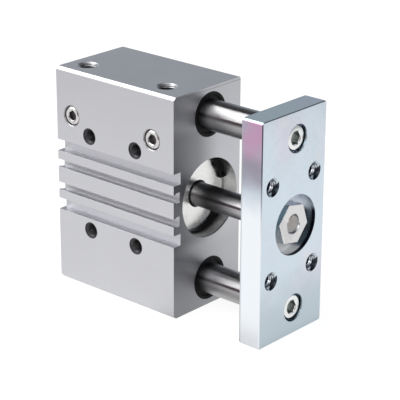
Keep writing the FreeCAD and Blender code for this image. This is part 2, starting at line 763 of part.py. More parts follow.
def hexagon_nut(label, flats, height, turn, along, countersink=None):
    """Hexagon nut on a rod spigot; its front face is at height in front of its place."""
    body = new_body(label)
    blank = sketch(body, label + "_blank", "YZ_Plane")
    hexagon(blank, flats, turn)
    pad(body, blank, height)
    thread = sketch(body, label + "_thread", "YZ_Plane", height)
    circle(thread, "rod_spigot_diameter")
    bore = "rod_spigot_diameter + 2*running_fit"
    mouth = f"{bore} + 2*{countersink}" if countersink else None
    drill(body, thread, bore, mouth=mouth)
    place(body, along, "axis_offset", AXIS_UP)
    subparts.append(body)


def make_plate_screws():
    """Low-head socket screws that draw the guide rods against the tool plate."""
    screws = []
    head_back = f"{PLATE_BACK} + plate_thickness - {SCREW_POCKET_DEPTH}"
    for side, up in (("upper", UPPER_GUIDE), ("lower", LOWER_GUIDE)):
        profile = [
            ("-screw_length", "0"),
            ("-screw_length", "screw_diameter/2"),
            ("0", "screw_diameter/2"),
            ("0", "screw_head_diameter/2"),
            ("screw_head_height", "screw_head_diameter/2"),
            ("screw_head_height", "0"),
        ]
        screw = turned(f"{side}_screw", profile, head_back, up=up)
        socket = sketch(screw, f"{side}_socket", "YZ_Plane", "screw_head_height")
        hexagon(socket, "screw_socket_flats")
        pocket(screw, socket, "screw_socket_depth")
        screws.append(screw)
    subparts.append(group("plate_screws", screws))


def make_piston():
    """Piston with one wide groove for two lip seals, the wear ring and the magnet under it."""
    body_radius = "(bore_diameter/2 - piston_clearance)"
    disc = f"({PISTON_BODY} - piston_boss_length)"
    groove = "piston_groove_diameter/2"
    recess = "(piston_nut_height + ring_play)"
    front_face = f"{PISTON_FACE} - bumper_thickness"
    spigot_bore = "(rod_spigot_diameter/2 + running_fit)"
    profile = [
        ("0", spigot_bore),
        ("0", body_radius),
        ("-piston_land", body_radius),
        ("-piston_land", groove),
        (f"-{disc} + piston_land", groove),
        (f"-{disc} + piston_land", body_radius),
        (f"-{disc}", body_radius),
        (f"-{disc}", "piston_boss_diameter/2"),
        (f"-{PISTON_BODY}", "piston_boss_diameter/2"),
        (f"-{PISTON_BODY}", "piston_nut_recess/2"),
        (f"-{PISTON_BODY} + {recess}", "piston_nut_recess/2"),
        (f"-{PISTON_BODY} + {recess}", spigot_bore),
    ]
    subparts.append(turned("piston", profile, front_face))

    lip = "(bore_diameter/2 - sliding_fit)"
    inner = f"({groove} + ring_gap_axial)"
    heel = f"({lip} - lip_seal_taper)"
    groove_front = f"({front_face} - piston_land)"
    groove_back = f"({front_face} - {disc} + piston_land)"
    front_seal = [("0", inner), ("0", lip), ("-lip_seal_width", heel), ("-lip_seal_width", inner)]
    rear_seal = [("0", inner), ("0", heel), ("-lip_seal_width", lip), ("-lip_seal_width", inner)]
    seals = [
        turned("front_lip_seal", front_seal, f"{groove_front} - ring_gap_axial"),
        turned("rear_lip_seal", rear_seal, f"{groove_back} + ring_gap_axial + lip_seal_width"),
    ]
    subparts.append(group("piston_seals", seals))

    ring_front = f"{groove_front} - lip_seal_width - 2*ring_gap_axial"
    ring_width = f"({disc} - 2*piston_land - 2*lip_seal_width - 4*ring_gap_axial)"
    magnet_outer = f"({inner} + magnet_wall)"
    subparts.append(ring("magnet_ring", magnet_outer, inner, ring_width, ring_front))
    subparts.append(ring("wear_ring", lip, f"{magnet_outer} + ring_gap_axial", ring_width, ring_front))

    bumper = ("bumper_diameter/2", "bumper_bore/2", "bumper_thickness")
    bumpers = [
        ring("front_bumper", *bumper, PISTON_FACE),
        ring("rear_bumper", *bumper, f"{PISTON_FACE} - bumper_thickness - {PISTON_BODY}"),
    ]
    subparts.append(group("piston_bumpers", bumpers))


def make_nuts():
    """The nut on the tool plate, and the one behind the piston."""
    nut_back = f"{PLATE_BACK} + plate_thickness - {NUT_POCKET_DEPTH}"
    front = ("rod_nut_flats", "rod_nut_height", "rod_nut_turn")
    hexagon_nut("rod_nut", *front, nut_back, "rod_nut_countersink")
    piston_nut_back = f"{PISTON_FACE} - bumper_thickness - {PISTON_BODY} + ring_play"
    hexagon_nut("piston_nut", "piston_nut_flats", "piston_nut_height", "0", piston_nut_back)


def check_and_export():
    """Stop on any failed object, then write each sub-part to its own file."""
    doc.recompute()
    for item in doc.Objects:
        if {"Invalid", "Error"} & set(item.State):
            raise RuntimeError(f"{item.Name} failed: {item.State}")
    os.makedirs("parts", exist_ok=True)
    for piece in subparts:
        if piece.Shape.isNull() or not piece.Shape.isValid():
            raise RuntimeError(f"{piece.Label} has no valid shape")
        piece.Shape.exportStep(f"parts/{piece.Label}.step")


make_housing()
make_caps()
make_retaining_rings()
make_rod_guide()
make_guides()
make_port_plugs()
make_tool_plate()
make_guide_rods()
make_piston_rod()
make_piston()
make_nuts()
make_plate_screws()
check_and_export()
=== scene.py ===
"""Guided pneumatic cylinder: finishes, fine detail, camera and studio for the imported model.

Everything is in metres, in the model's own frame: +X is the stroke, towards the tool plate, +Y points
away from the face with the sensor slots, and +Z is up.  Only the regions of the finishes, which lie in
object coordinates, are in millimetres.
"""

import logging
import math
from abc import ABC, abstractmethod
from collections.abc import Callable, Iterable, Sequence
from dataclasses import dataclass, field
from enum import Enum
from functools import cache

import bmesh
import bpy
from mathutils import Matrix, Vector


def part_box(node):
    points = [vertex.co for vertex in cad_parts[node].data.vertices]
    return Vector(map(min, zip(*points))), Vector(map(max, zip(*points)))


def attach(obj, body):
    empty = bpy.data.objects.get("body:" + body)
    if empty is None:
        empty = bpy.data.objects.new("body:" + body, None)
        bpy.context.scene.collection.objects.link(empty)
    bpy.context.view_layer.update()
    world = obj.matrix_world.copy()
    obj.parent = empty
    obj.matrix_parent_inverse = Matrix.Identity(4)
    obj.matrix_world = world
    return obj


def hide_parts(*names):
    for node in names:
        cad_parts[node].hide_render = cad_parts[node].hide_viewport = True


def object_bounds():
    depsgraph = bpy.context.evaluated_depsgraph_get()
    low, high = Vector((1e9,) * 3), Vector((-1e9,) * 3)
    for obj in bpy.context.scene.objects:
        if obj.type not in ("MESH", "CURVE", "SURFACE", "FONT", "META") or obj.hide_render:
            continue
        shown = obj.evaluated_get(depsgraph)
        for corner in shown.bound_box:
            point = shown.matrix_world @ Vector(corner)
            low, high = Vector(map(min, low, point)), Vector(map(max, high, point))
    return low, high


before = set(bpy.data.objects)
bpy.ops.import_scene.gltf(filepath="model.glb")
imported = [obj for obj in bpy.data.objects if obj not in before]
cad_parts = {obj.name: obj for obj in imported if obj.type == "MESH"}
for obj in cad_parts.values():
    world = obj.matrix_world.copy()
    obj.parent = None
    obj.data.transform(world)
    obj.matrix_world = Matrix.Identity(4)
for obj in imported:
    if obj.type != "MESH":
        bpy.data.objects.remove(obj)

CAD_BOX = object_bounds()
LOG = logging.getLogger("guided_cylinder")
MM = 0.001
AROUND = 96
THREAD_STEPS = 40

# How far the region of a hole reaches past its wall, in millimetres.
HOLE_MARGIN = 0.1
# Section of a thread: offsets along the hole in pitches, and heights in depths.
THREAD_SECTION = ((0.49, 0.0), (0.07, 1.0), (-0.07, 1.0), (-0.49, 0.0))

Triple = tuple[float, float, float]
Socket = bpy.types.NodeSocket
Ring = list[Vector]
Inputs = dict[str | int, object]
Radius = float | Callable[[float], float]
Profile = list[tuple[float, Radius]]

FORWARD: Triple = (1.0, 0.0, 0.0)
BACKWARD: Triple = (-1.0, 0.0, 0.0)
INWARD: Triple = (0.0, 1.0, 0.0)
OUTWARD: Triple = (0.0, -1.0, 0.0)
UPWARD: Triple = (0.0, 0.0, 1.0)
DOWNWARD: Triple = (0.0, 0.0, -1.0)
EVEN: Triple = (1.0, 1.0, 1.0)
WHITE: Triple = (1.0, 1.0, 1.0)
STRAW: Triple = (0.82, 0.80, 0.74)


class Body(Enum):
    """The two bodies of the mechanism."""

    HOUSING = "housing_body"
    CARRIAGE = "carriage"


class Slot(Enum):
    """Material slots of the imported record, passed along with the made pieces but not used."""

    HOUSING = "anodised_housing"
    SPRING = "black_spring_steel"
    PLUG = "nickel_plated_steel"
    PLATE = "zinc_plated_steel"
    NUT = "zinc_plated_nut"
    SCREW = "zinc_plated_screw"
    ROD = "chromed_rod"


class Axis(Enum):
    """Direction that a turned piece or a hole points in, with the two directions across it."""

    X = ((1, 0, 0), (0, 1, 0), (0, 0, 1))
    MINUS_Y = ((0, -1, 0), (1, 0, 0), (0, 0, 1))
    PLUS_Y = ((0, 1, 0), (-1, 0, 0), (0, 0, 1))
    Z = ((0, 0, 1), (1, 0, 0), (0, 1, 0))

    def spot(self, along: float, radius: float, angle: float) -> Vector:
        """The point at a distance along this direction, and at a radius and an angle in radians about it."""
        along_row, across_row, up_row = (Vector(row) for row in self.value)
        return along * along_row + radius * math.cos(angle) * across_row + radius * math.sin(angle) * up_row


# ---------------------------------------------------------------- places


def in_mm(length: float | Vector) -> float | Vector:
    """A length or a place in metres, in millimetres."""
    return 1000.0 * length


def box_mm(node: str) -> tuple[Vector, Vector]:
    """Low and high corner of a CAD node's box, in millimetres."""
    low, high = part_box(node)
    return in_mm(low), in_mm(high)


def middle(node: str) -> Vector:
    """Middle of a CAD node's box."""
    low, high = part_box(node)
    return (low + high) / 2.0


def bore_axis() -> Vector:
    """Middle of the piston rod's axis."""
    return middle("piston_rod")


# ---------------------------------------------------------------- node wiring


@dataclass
class Wiring:
    """A node tree with short calls for adding and linking nodes."""

    tree: bpy.types.NodeTree

    def feed(self, node: bpy.types.Node, name: str | int, value: object) -> None:
        """Link a socket into an input, or set the input's own value.

        Args:
            node: The node that receives the value.
            name: Name or index of its input.
            value: A socket to link, or a plain value; a colour is three numbers.
        """
        socket = node.inputs[name]
        if isinstance(value, Socket):
            self.tree.links.new(value, socket)
        elif socket.type == "RGBA":
            socket.default_value = (*value, 1.0)
        else:
            socket.default_value = value

    def node(self, kind: str, inputs: Inputs | None = None, **settings: object) -> bpy.types.Node:
        """Add a node.

        Args:
            kind: The node's type without its ShaderNode prefix.
            inputs: Values or sockets for its inputs.
            settings: Properties to set on the node.

        Returns:
            The new node.
        """
        made = self.tree.nodes.new("ShaderNode" + kind)
        for name, value in settings.items():
            setattr(made, name, value)
        for name, value in (inputs or {}).items():
            self.feed(made, name, value)
        return made

    def effect(self, group: bpy.types.NodeTree, **inputs: object) -> bpy.types.NodeOutputs:
        """Place a shared effect with values or sockets for its inputs, and give its outputs by name."""
        return self.node("Group", inputs, node_tree=group).outputs

    def math(self, operation: str, first: object, second: object = 0.0) -> Socket:
        """Combine two numbers or sockets by an operation of the Math node."""
        return self.node("Math", {0: first, 1: second}, operation=operation).outputs[0]

    def times(self, first: object, second: object) -> Socket:
        """The product of two numbers."""
        return self.math("MULTIPLY", first, second)

    def vector(self, operation: str, first: object, second: object = (0.0, 0.0, 0.0)) -> Socket:
        """Combine two vectors; a length or a dot product comes out as a number."""
        result = "Value" if operation in ("LENGTH", "DOT_PRODUCT") else "Vector"
        return self.node("VectorMath", {0: first, 1: second}, operation=operation).outputs[result]

    def between(
        self, value: object, low: object, high: object, start: object = 0.0, end: float = 1.0
    ) -> Socket:
        """Map a number smoothly from the range low to high onto the range start to end."""
        inputs = {"Value": value, "From Min": low, "From Max": high, "To Min": start, "To Max": end}
        return self.node("MapRange", inputs, interpolation_type="SMOOTHSTEP").outputs["Result"]

    def about(self, value: object, middle: float, full: float, none: float) -> Socket:
        """A share that is 1 up to one distance from a middle value, and 0 from another distance on."""
        return self.between(self.math("ABSOLUTE", self.math("SUBTRACT", value, middle)), none, full)

    def mix(self, share: object, first: object, second: object) -> Socket:
        """Blend two colours; the share says how much of the second one."""
        return self.node("Mix", {0: share, 6: first, 7: second}, data_type="RGBA").outputs[2]

    def noise(self, vector: object, scale: object, detail: float = 3.0, rough: float = 0.55) -> Socket:
        """Fractal noise from 0 to 1, with that many features per unit and octaves of detail."""
        inputs = {"Vector": vector, "Scale": scale, "Detail": detail, "Roughness": rough}
        return self.node("TexNoise", inputs).outputs["Fac"]

    def millimetres(self) -> Socket:
        """Object coordinates in millimetres."""
        return self.vector("MULTIPLY", self.node("TexCoord").outputs["Object"], (1000.0, 1000.0, 1000.0))


def shader_group(
    name: str, inputs: dict[str, str], outputs: dict[str, str]
) -> tuple[Wiring, bpy.types.NodeOutputs, bpy.types.Node]:
    """Start a shader node group with named sockets.

    Args:
        name: Name of the group.
        inputs: Socket type by name.
        outputs: Socket type by name.

    Returns:
        The wiring of the group, its inputs by name, and its output node.
    """
    tree = bpy.data.node_groups.new(name, "ShaderNodeTree")
    for way, sockets in (("INPUT", inputs), ("OUTPUT", outputs)):
        for label, kind in sockets.items():
            tree.interface.new_socket(label, in_out=way, socket_type="NodeSocket" + kind)
    return Wiring(tree), tree.nodes.new("NodeGroupInput").outputs, tree.nodes.new("NodeGroupOutput")


# ---------------------------------------------------------------- shared effects


@cache
def drawn_grain() -> bpy.types.NodeTree:
    """Drawn lines and fine grain, stretched along one direction.

    Returns:
        A group with Height and Tone.
    """
    inputs = {"Vector": "Vector", "Stretch": "Vector", "Fineness": "Float"}
    wires, given, result = shader_group("drawn_grain", inputs, {"Height": "Float", "Tone": "Float"})
    lines = wires.vector("MULTIPLY", given["Vector"], given["Stretch"])
    coarse = wires.noise(lines, given["Fineness"], detail=4.0, rough=0.6)
    speckle = wires.noise(given["Vector"], wires.times(given["Fineness"], 2.5), detail=2.0)
    wires.feed(result, "Height", wires.math("ADD", wires.times(coarse, 0.7), wires.times(speckle, 0.3)))
    wires.feed(result, "Tone", wires.between(coarse, 0.3, 0.7))
    return wires.tree


@cache
def broken_edges() -> bpy.types.NodeTree:
    """Where a surface turns sharply, so that the edge can be rubbed bright.

    Returns:
        A group with Mask and Normal.
    """
    outputs = {"Mask": "Float", "Normal": "Vector"}
    wires, given, result = shader_group("broken_edges", {"Reach": "Float"}, outputs)
    rounded = wires.node("Bevel", {"Radius": given["Reach"]}, samples=6).outputs["Normal"]
    facing = wires.vector("DOT_PRODUCT", rounded, wires.node("NewGeometry").outputs["Normal"])
    wires.feed(result, "Mask", wires.between(facing, 0.995, 0.8))
    wires.feed(result, "Normal", rounded)
    return wires.tree


@cache
def handling() -> bpy.types.NodeTree:
    """Cloudy patches and small smears left by oil and handling.

    Returns:
        A group with Tone, about 0.5 on average.
    """
    wires, given, result = shader_group("handling", {"Vector": "Vector", "Size": "Float"}, {"Tone": "Float"})
    cloud = wires.noise(given["Vector"], given["Size"])
    smear = wires.vector("MULTIPLY", given["Vector"], (0.5, 0.5, 1.6))
    streak = wires.noise(smear, wires.times(given["Size"], 7.0), detail=2.0)
    tone = wires.math("ADD", wires.times(cloud, 0.65), wires.times(streak, 0.35))
    wires.feed(result, "Tone", wires.between(tone, 0.32, 0.68))
    return wires.tree


@cache
def turning_marks() -> bpy.types.NodeTree:
    """Concentric tool marks about an axis parallel to X.

    Returns:
        A group with Height and Tone.
    """
    inputs = {"Vector": "Vector", "Centre": "Vector", "Pitch": "Float"}
    wires, given, result = shader_group("turning_marks", inputs, {"Height": "Float", "Tone": "Float"})
    offset = wires.vector("SUBTRACT", given["Vector"], given["Centre"])
    radius = wires.vector("LENGTH", wires.vector("MULTIPLY", offset, (0.0, 1.0, 1.0)))
    turns = wires.math("DIVIDE", radius, given["Pitch"])
    wave = wires.math("SINE", wires.times(turns, 2.0 * math.pi))
    uneven = wires.node("TexNoise", {"W": turns, "Scale": 0.37, "Detail": 3.0}, noise_dimensions="1D")
    drift = uneven.outputs["Fac"]
    wires.feed(result, "Height", wires.math("ADD", wires.times(wave, 0.25), drift))
    wires.feed(result, "Tone", wires.between(drift, 0.3, 0.7))
    return wires.tree


@cache
def passivation_film() -> bpy.types.NodeTree:
    """Thin passivation film on zinc: faint pink, violet and straw drifts over pale blue.

    Returns:
        A group with Colour.
    """
    inputs = {"Vector": "Vector", "Size": "Float", "Ground": "Color", "Flush": "Color"}
    wires, given, result = shader_group("passivation_film", inputs, {"Colour": "Color"})
    drift = wires.noise(given["Vector"], given["Size"], detail=2.0, rough=0.45)
    straw = wires.noise(given["Vector"], wires.times(given["Size"], 2.7), detail=2.0)
    tinted = wires.mix(wires.between(drift, 0.48, 0.75), given["Ground"], given["Flush"])
    warmed = wires.mix(wires.between(straw, 0.6, 0.85, 0.0, 0.35), tinted, STRAW)
    wires.feed(result, "Colour", warmed)
    return wires.tree


@cache
def round_zone() -> bpy.types.NodeTree:
    """Everything within a radius of an axis; Fold repeats the axis on both sides of the centre.

    Returns:
        A group with Mask.
    """
    inputs = dict.fromkeys(("Vector", "Centre", "Fold", "Flatten"), "Vector") | {"Radius": "Float"}
    wires, given, result = shader_group("round_zone", inputs, {"Mask": "Float"})
    aside = wires.vector("ABSOLUTE", wires.vector("SUBTRACT", given["Vector"], given["Centre"]))
    folded = wires.vector("SUBTRACT", aside, given["Fold"])
    radius = wires.vector("LENGTH", wires.vector("MULTIPLY", folded, given["Flatten"]))
    over = wires.math("SUBTRACT", radius, given["Radius"])
    wires.feed(result, "Mask", wires.between(over, 0.0, -0.15))
    return wires.tree


@cache
def ramp() -> bpy.types.NodeTree:
    """A smooth rise along one direction, its border wandering a little.

    Returns:
        A group with Mask.
    """
    inputs = dict.fromkeys(("Vector", "Direction"), "Vector")
    inputs |= dict.fromkeys(("Start", "End", "Wander"), "Float")
    wires, given, result = shader_group("ramp", inputs, {"Mask": "Float"})
    along = wires.vector("DOT_PRODUCT", given["Vector"], given["Direction"])
    drift = wires.math("SUBTRACT", wires.noise(given["Vector"], 0.045), 0.5)
    moved = wires.math("ADD", along, wires.times(drift, given["Wander"]))
    wires.feed(result, "Mask", wires.between(moved, given["Start"], given["End"]))
    return wires.tree


# ---------------------------------------------------------------- regions of a finish, in millimetres


class Region(ABC):
    """Part of a surface that a finish treats differently."""

    @abstractmethod
    def mask(self, wires: Wiring, place: Socket) -> Socket:
        """How much each point belongs to the region, from 0 to 1, by its place in millimetres."""

    def __and__(self, other: "Region") -> "BothRegions":
        """The overlap with another region."""
        return BothRegions(self, other)


@dataclass(frozen=True)
class RoundRegion(Region):
    """Inside of one hole, or of a pattern of holes."""

    centre: Sequence[float]
    radius: float
    flatten: Triple = (0.0, 1.0, 1.0)
    fold: Triple = (0.0, 0.0, 0.0)

    def mask(self, wires: Wiring, place: Socket) -> Socket:
        """Mask of the region."""
        sizes = {"Centre": self.centre, "Fold": self.fold, "Flatten": self.flatten, "Radius": self.radius}
        return wires.effect(round_zone(), Vector=place, **sizes)["Mask"]


@dataclass(frozen=True)
class RampRegion(Region):
    """Everything beyond a place along a direction."""

    direction: Triple
    start: float
    end: float
    wander: float = 0.0

    def mask(self, wires: Wiring, place: Socket) -> Socket:
        """Mask of the region."""
        sizes = {"Direction": self.direction, "Start": self.start, "End": self.end, "Wander": self.wander}
        return wires.effect(ramp(), Vector=place, **sizes)["Mask"]


@dataclass(frozen=True)
class BothRegions(Region):
    """Where two regions overlap."""

    first: Region
    second: Region

    def mask(self, wires: Wiring, place: Socket) -> Socket:
        """Mask of the overlap."""
        return wires.times(self.first.mask(wires, place), self.second.mask(wires, place))


def beyond(point: Vector, direction: Triple, start: float, end: float, wander: float = 0.0) -> RampRegion:
    """Everything further along a direction than a point, full at end millimetres past the point."""
    level = point.dot(Vector(direction))
    return RampRegion(direction, level + start, level + end, wander)


@dataclass(frozen=True)
class Worked:
    """A region with its own tone and roughness, and how much of it is bare metal."""

    region: Region
    tone: Triple
    roughness: float
    share: float = 1.0
    metal: float = 1.0


# ---------------------------------------------------------------- finishes


@dataclass(frozen=True)
class Skin:
    """Colour and roughness of a finish before any region is worked, and the inputs of its Bump node."""

    colour: Socket
    dull: Socket
    relief: dict[str, object]


def start_material(name: str, **values: object) -> tuple[bpy.types.Material, Wiring, bpy.types.Node]:
    """Make a material with one Principled BSDF.

    Args:
        name: Name of the material.
        values: Inputs of the shader that are the same all over, with _ for a space.

    Returns:
        The material, its wiring and its shader.
    """
    material = bpy.data.materials.new(name)
    material.use_nodes = True
    material.node_tree.nodes.clear()
    wires = Wiring(material.node_tree)
    shader = wires.node("BsdfPrincipled", {label.replace("_", " "): value for label, value in values.items()})
    wires.node("OutputMaterial", {"Surface": shader.outputs["BSDF"]})
    return material, wires, shader


def deeper(tone: Triple, share: float) -> Triple:
    """A tone brought down to a share of itself."""
    return tuple(share * part for part in tone)


@dataclass(frozen=True)
class Finish(ABC):
    """What every finish has: a tone, a roughness, and regions worked over its skin."""

    name: str
    tone: Triple
    roughness: float = 0.24
    worked: tuple[Worked, ...] = ()

    @abstractmethod
    def skin(self, wires: Wiring, place: Socket) -> Skin:
        """The skin of this kind of finish, before any region is worked."""

    def fixed(self) -> dict[str, float]:
        """Shader inputs that are the same all over."""
        return {"Metallic": 1.0}

    def dulled(self, wires: Wiring, tone: Socket, less: float, more: float) -> Socket:
        """Roughness that drifts with a tone from a little less than the finish's own to a little more."""
        return wires.between(tone, 0.0, 1.0, self.roughness - less, self.roughness + more)

    def build(self) -> bpy.types.Material:
        """Make the material.

        Returns:
            The finished material.
        """
        material, wires, shader = start_material(self.name, **self.fixed())
        place = wires.millimetres()
        skin = self.skin(wires, place)
        colour, dull, metal = skin.colour, skin.dull, 1.0
        for part in self.worked:
            share = wires.times(part.region.mask(wires, place), part.share)
            colour = wires.mix(share, colour, part.tone)
            dull = wires.between(share, 0.0, 1.0, dull, part.roughness)
            if part.metal < 1.0:
                metal = wires.between(share, 0.0, 1.0, metal, part.metal)
        wires.feed(shader, "Base Color", colour)
        wires.feed(shader, "Roughness", dull)
        if metal != 1.0:
            wires.feed(shader, "Metallic", metal)
        wires.feed(shader, "Normal", wires.node("Bump", skin.relief).outputs["Normal"])
        if self.fixed().get("Anisotropic"):
            wires.feed(shader, "Tangent", wires.node("Tangent", direction_type="RADIAL", axis="X").outputs[0])
        return material


@dataclass(frozen=True)
class AnodisedFinish(Finish):
    """Satin clear-anodised extrusion with machined ends."""

    worn: Triple = (0.90, 0.90, 0.92)

    def skin(self, wires: Wiring, place: Socket) -> Skin:
        """Faint drawn lines, with the edges rubbed bright.

        Args:
            wires: Wiring of the material.
            place: Coordinates in millimetres.

        Returns:
            The skin.
        """
        grain = wires.effect(drawn_grain(), Vector=place, Stretch=(0.012, 1.0, 1.0), Fineness=1.6)
        touch = wires.effect(handling(), Vector=place, Size=0.03)
        edge = wires.effect(broken_edges(), Reach=0.18 * MM)
        drawn = wires.mix(grain["Tone"], deeper(self.tone, 0.975), self.tone)
        rubbed = wires.mix(wires.times(edge["Mask"], 0.4), drawn, self.worn)
        relief = {"Height": grain["Height"], "Distance": 0.004 * MM, "Strength": 0.6}
        dull = self.dulled(wires, touch["Tone"], 0.015, 0.02)
        return Skin(rubbed, dull, relief | {"Normal": edge["Normal"]})


@dataclass(frozen=True)
class TurnedFinish(Finish):
    """Bright metal straight off the lathe, with marks about the bore's axis."""

    anisotropy: float = 0.0
    pitch: float = 0.25

    def fixed(self) -> dict[str, float]:
        """Shader inputs that are the same all over."""
        return {"Metallic": 1.0, "Anisotropic": self.anisotropy}

    def skin(self, wires: Wiring, place: Socket) -> Skin:
        """Rings of the tool about the bore's axis.

        Args:
            wires: Wiring of the material.
            place: Coordinates in millimetres.

        Returns:
            The skin.
        """
        marks = wires.effect(turning_marks(), Vector=place, Centre=in_mm(bore_axis()), Pitch=self.pitch)
        touch = wires.effect(handling(), Vector=place, Size=0.09)
        ringed = wires.mix(marks["Tone"], deeper(self.tone, 0.94), self.tone)
        relief = {"Height": marks["Height"], "Distance": 0.004 * MM, "Strength": 0.5}
        return Skin(ringed, self.dulled(wires, touch["Tone"], 0.04, 0.05), relief)


@dataclass(frozen=True)
class ZincFinish(Finish):
    """Bright zinc plating under a thin passivation film."""

    flush: Triple = (0.72, 0.72, 0.81)
    size: float = 0.02

    def skin(self, wires: Wiring, place: Socket) -> Skin:
        """Drifts of the film over a ground surface.

        Args:
            wires: Wiring of the material.
            place: Coordinates in millimetres.

        Returns:
            The skin.
        """
        tones = {"Ground": self.tone, "Flush": self.flush}
        film = wires.effect(passivation_film(), Vector=place, Size=self.size, **tones)
        edge = wires.effect(broken_edges(), Reach=0.3 * MM)
        grain = wires.effect(drawn_grain(), Vector=place, Stretch=(0.4, 0.05, 1.0), Fineness=1.2)
        touch = wires.effect(handling(), Vector=place, Size=0.06)
        relief = {"Height": grain["Height"], "Distance": 0.0006 * MM, "Strength": 0.5}
        dull = self.dulled(wires, touch["Tone"], 0.04, 0.05)
        return Skin(film["Colour"], dull, relief | {"Normal": edge["Normal"]})


@dataclass(frozen=True)
class ChromeFinish(Finish):
    """Hard chrome, nickel or bearing steel, ground round; anisotropy stretches its reflections."""

    stretch: Triple = (1.0, 0.02, 0.02)
    anisotropy: float = 0.0

    def fixed(self) -> dict[str, float]:
        """Shader inputs that are the same all over."""
        return {"Metallic": 1.0, "Anisotropic": self.anisotropy, "Anisotropic_Rotation": 0.25}

    def skin(self, wires: Wiring, place: Socket) -> Skin:
        """Clouds of handling over fine grinding.

        Args:
            wires: Wiring of the material.
            place: Coordinates in millimetres.

        Returns:
            The skin.
        """
        grain = wires.effect(drawn_grain(), Vector=place, Stretch=self.stretch, Fineness=2.4)
        touch = wires.effect(handling(), Vector=place, Size=0.12)
        cloudy = wires.mix(touch["Tone"], deeper(self.tone, 0.93), self.tone)
        relief = {"Height": grain["Height"], "Distance": 0.003 * MM, "Strength": 0.4}
        return Skin(cloudy, self.dulled(wires, touch["Tone"], 0.02, 0.03), relief)


@dataclass(frozen=True)
class TappedFinish(Finish):
    """Thread in its given tone, brighter where the tap has dragged; the dark tones given to hole threads are
    painted shade.
    """

    bright: Triple = WHITE

    def skin(self, wires: Wiring, place: Socket) -> Skin:
        """Torn grain with bright drags.

        Args:
            wires: Wiring of the material.
            place: Coordinates in millimetres.

        Returns:
            The skin.
        """
        grain = wires.effect(drawn_grain(), Vector=place, Stretch=EVEN, Fineness=2.2)
        touch = wires.effect(handling(), Vector=place, Size=0.35)
        dragged = wires.mix(wires.times(touch["Tone"], grain["Tone"]), self.tone, self.bright)
        relief = {"Height": grain["Height"], "Distance": 0.02 * MM, "Strength": 0.5}
        return Skin(dragged, self.dulled(wires, grain["Tone"], 0.05, 0.12), relief)


@dataclass(frozen=True)
class MouldedFinish(Finish):
    """Rubber, moulded plastic or blackened steel: a dark skin with fine texture."""

    dusty: Triple = WHITE
    shine: float = 0.5

    def fixed(self) -> dict[str, float]:
        """Shader inputs that are the same all over."""
        return {"Metallic": 0.0, "Specular_IOR_Level": self.shine}

    def skin(self, wires: Wiring, place: Socket) -> Skin:
        """Fine texture with a little dust.

        Args:
            wires: Wiring of the material.
            place: Coordinates in millimetres.

        Returns:
            The skin.
        """
        grain = wires.effect(drawn_grain(), Vector=place, Stretch=EVEN, Fineness=3.5)
        touch = wires.effect(handling(), Vector=place, Size=0.25)
        dusted = wires.mix(wires.times(touch["Tone"], grain["Tone"]), self.tone, self.dusty)
        relief = {"Height": grain["Height"], "Distance": 0.02 * MM, "Strength": 0.6}
        return Skin(dusted, self.dulled(wires, touch["Tone"], 0.06, 0.08), relief)


# Near-black tone of painted shade in the mounting threads and on the rods.
PAINTED_SHADE: Triple = (0.05, 0.05, 0.055)
CHROME: Triple = (0.40, 0.392, 0.396)
RUBBER = MouldedFinish("black_rubber", (0.006, 0.006, 0.007), 0.5, dusty=(0.016, 0.016, 0.017), shine=0.15)


# ---------------------------------------------------------------- meshes


def round_ring(axis: Axis, centre: Vector, along: float, radius: Radius, turn: float = 0.0) -> Ring:
    """A ring of points about an axis.

    Args:
        axis: Direction of the axis.
        centre: A point on the axis.
        along: How far along the axis the ring lies.
        radius: Its radius, or a function of the angle in radians measured from turn.
        turn: Angle of the first point.

    Returns:
        The points.
    """
    angles = [2.0 * math.pi * step / AROUND for step in range(AROUND)]
    reaches = [radius(angle) if callable(radius) else radius for angle in angles]
    return [centre + axis.spot(along, reach, angle + turn) for reach, angle in zip(reaches, angles)]


def turned(axis: Axis, centre: Vector, profile: Profile, turn: float = 0.0) -> list[Ring]:
    """Rings about an axis, one for each distance and radius of a profile."""
    return [round_ring(axis, centre, along, radius, turn) for along, radius in profile]


def six_sided(flats: float, share: float = 1.0) -> Callable[[float], float]:
    """Radius of a hexagon by angle in radians, as a share of its size, its first corner at angle 0."""
    third = math.pi / 3.0
    return lambda angle: share * (flats / 2.0 / math.cos((angle % third) - third / 2.0))


@dataclass(frozen=True)
class Thread:
    """Thread in a countersunk hole."""

    core: float
    mouth: float
    pitch: float
    depth: float = 0.42 * MM
    skin: float = 0.03 * MM

    def wall(self, depth: float) -> float:
        """Radius just off the hole's wall, at a depth below the face."""
        return max(self.core, self.mouth - 2.0 * depth) / 2.0 - self.skin


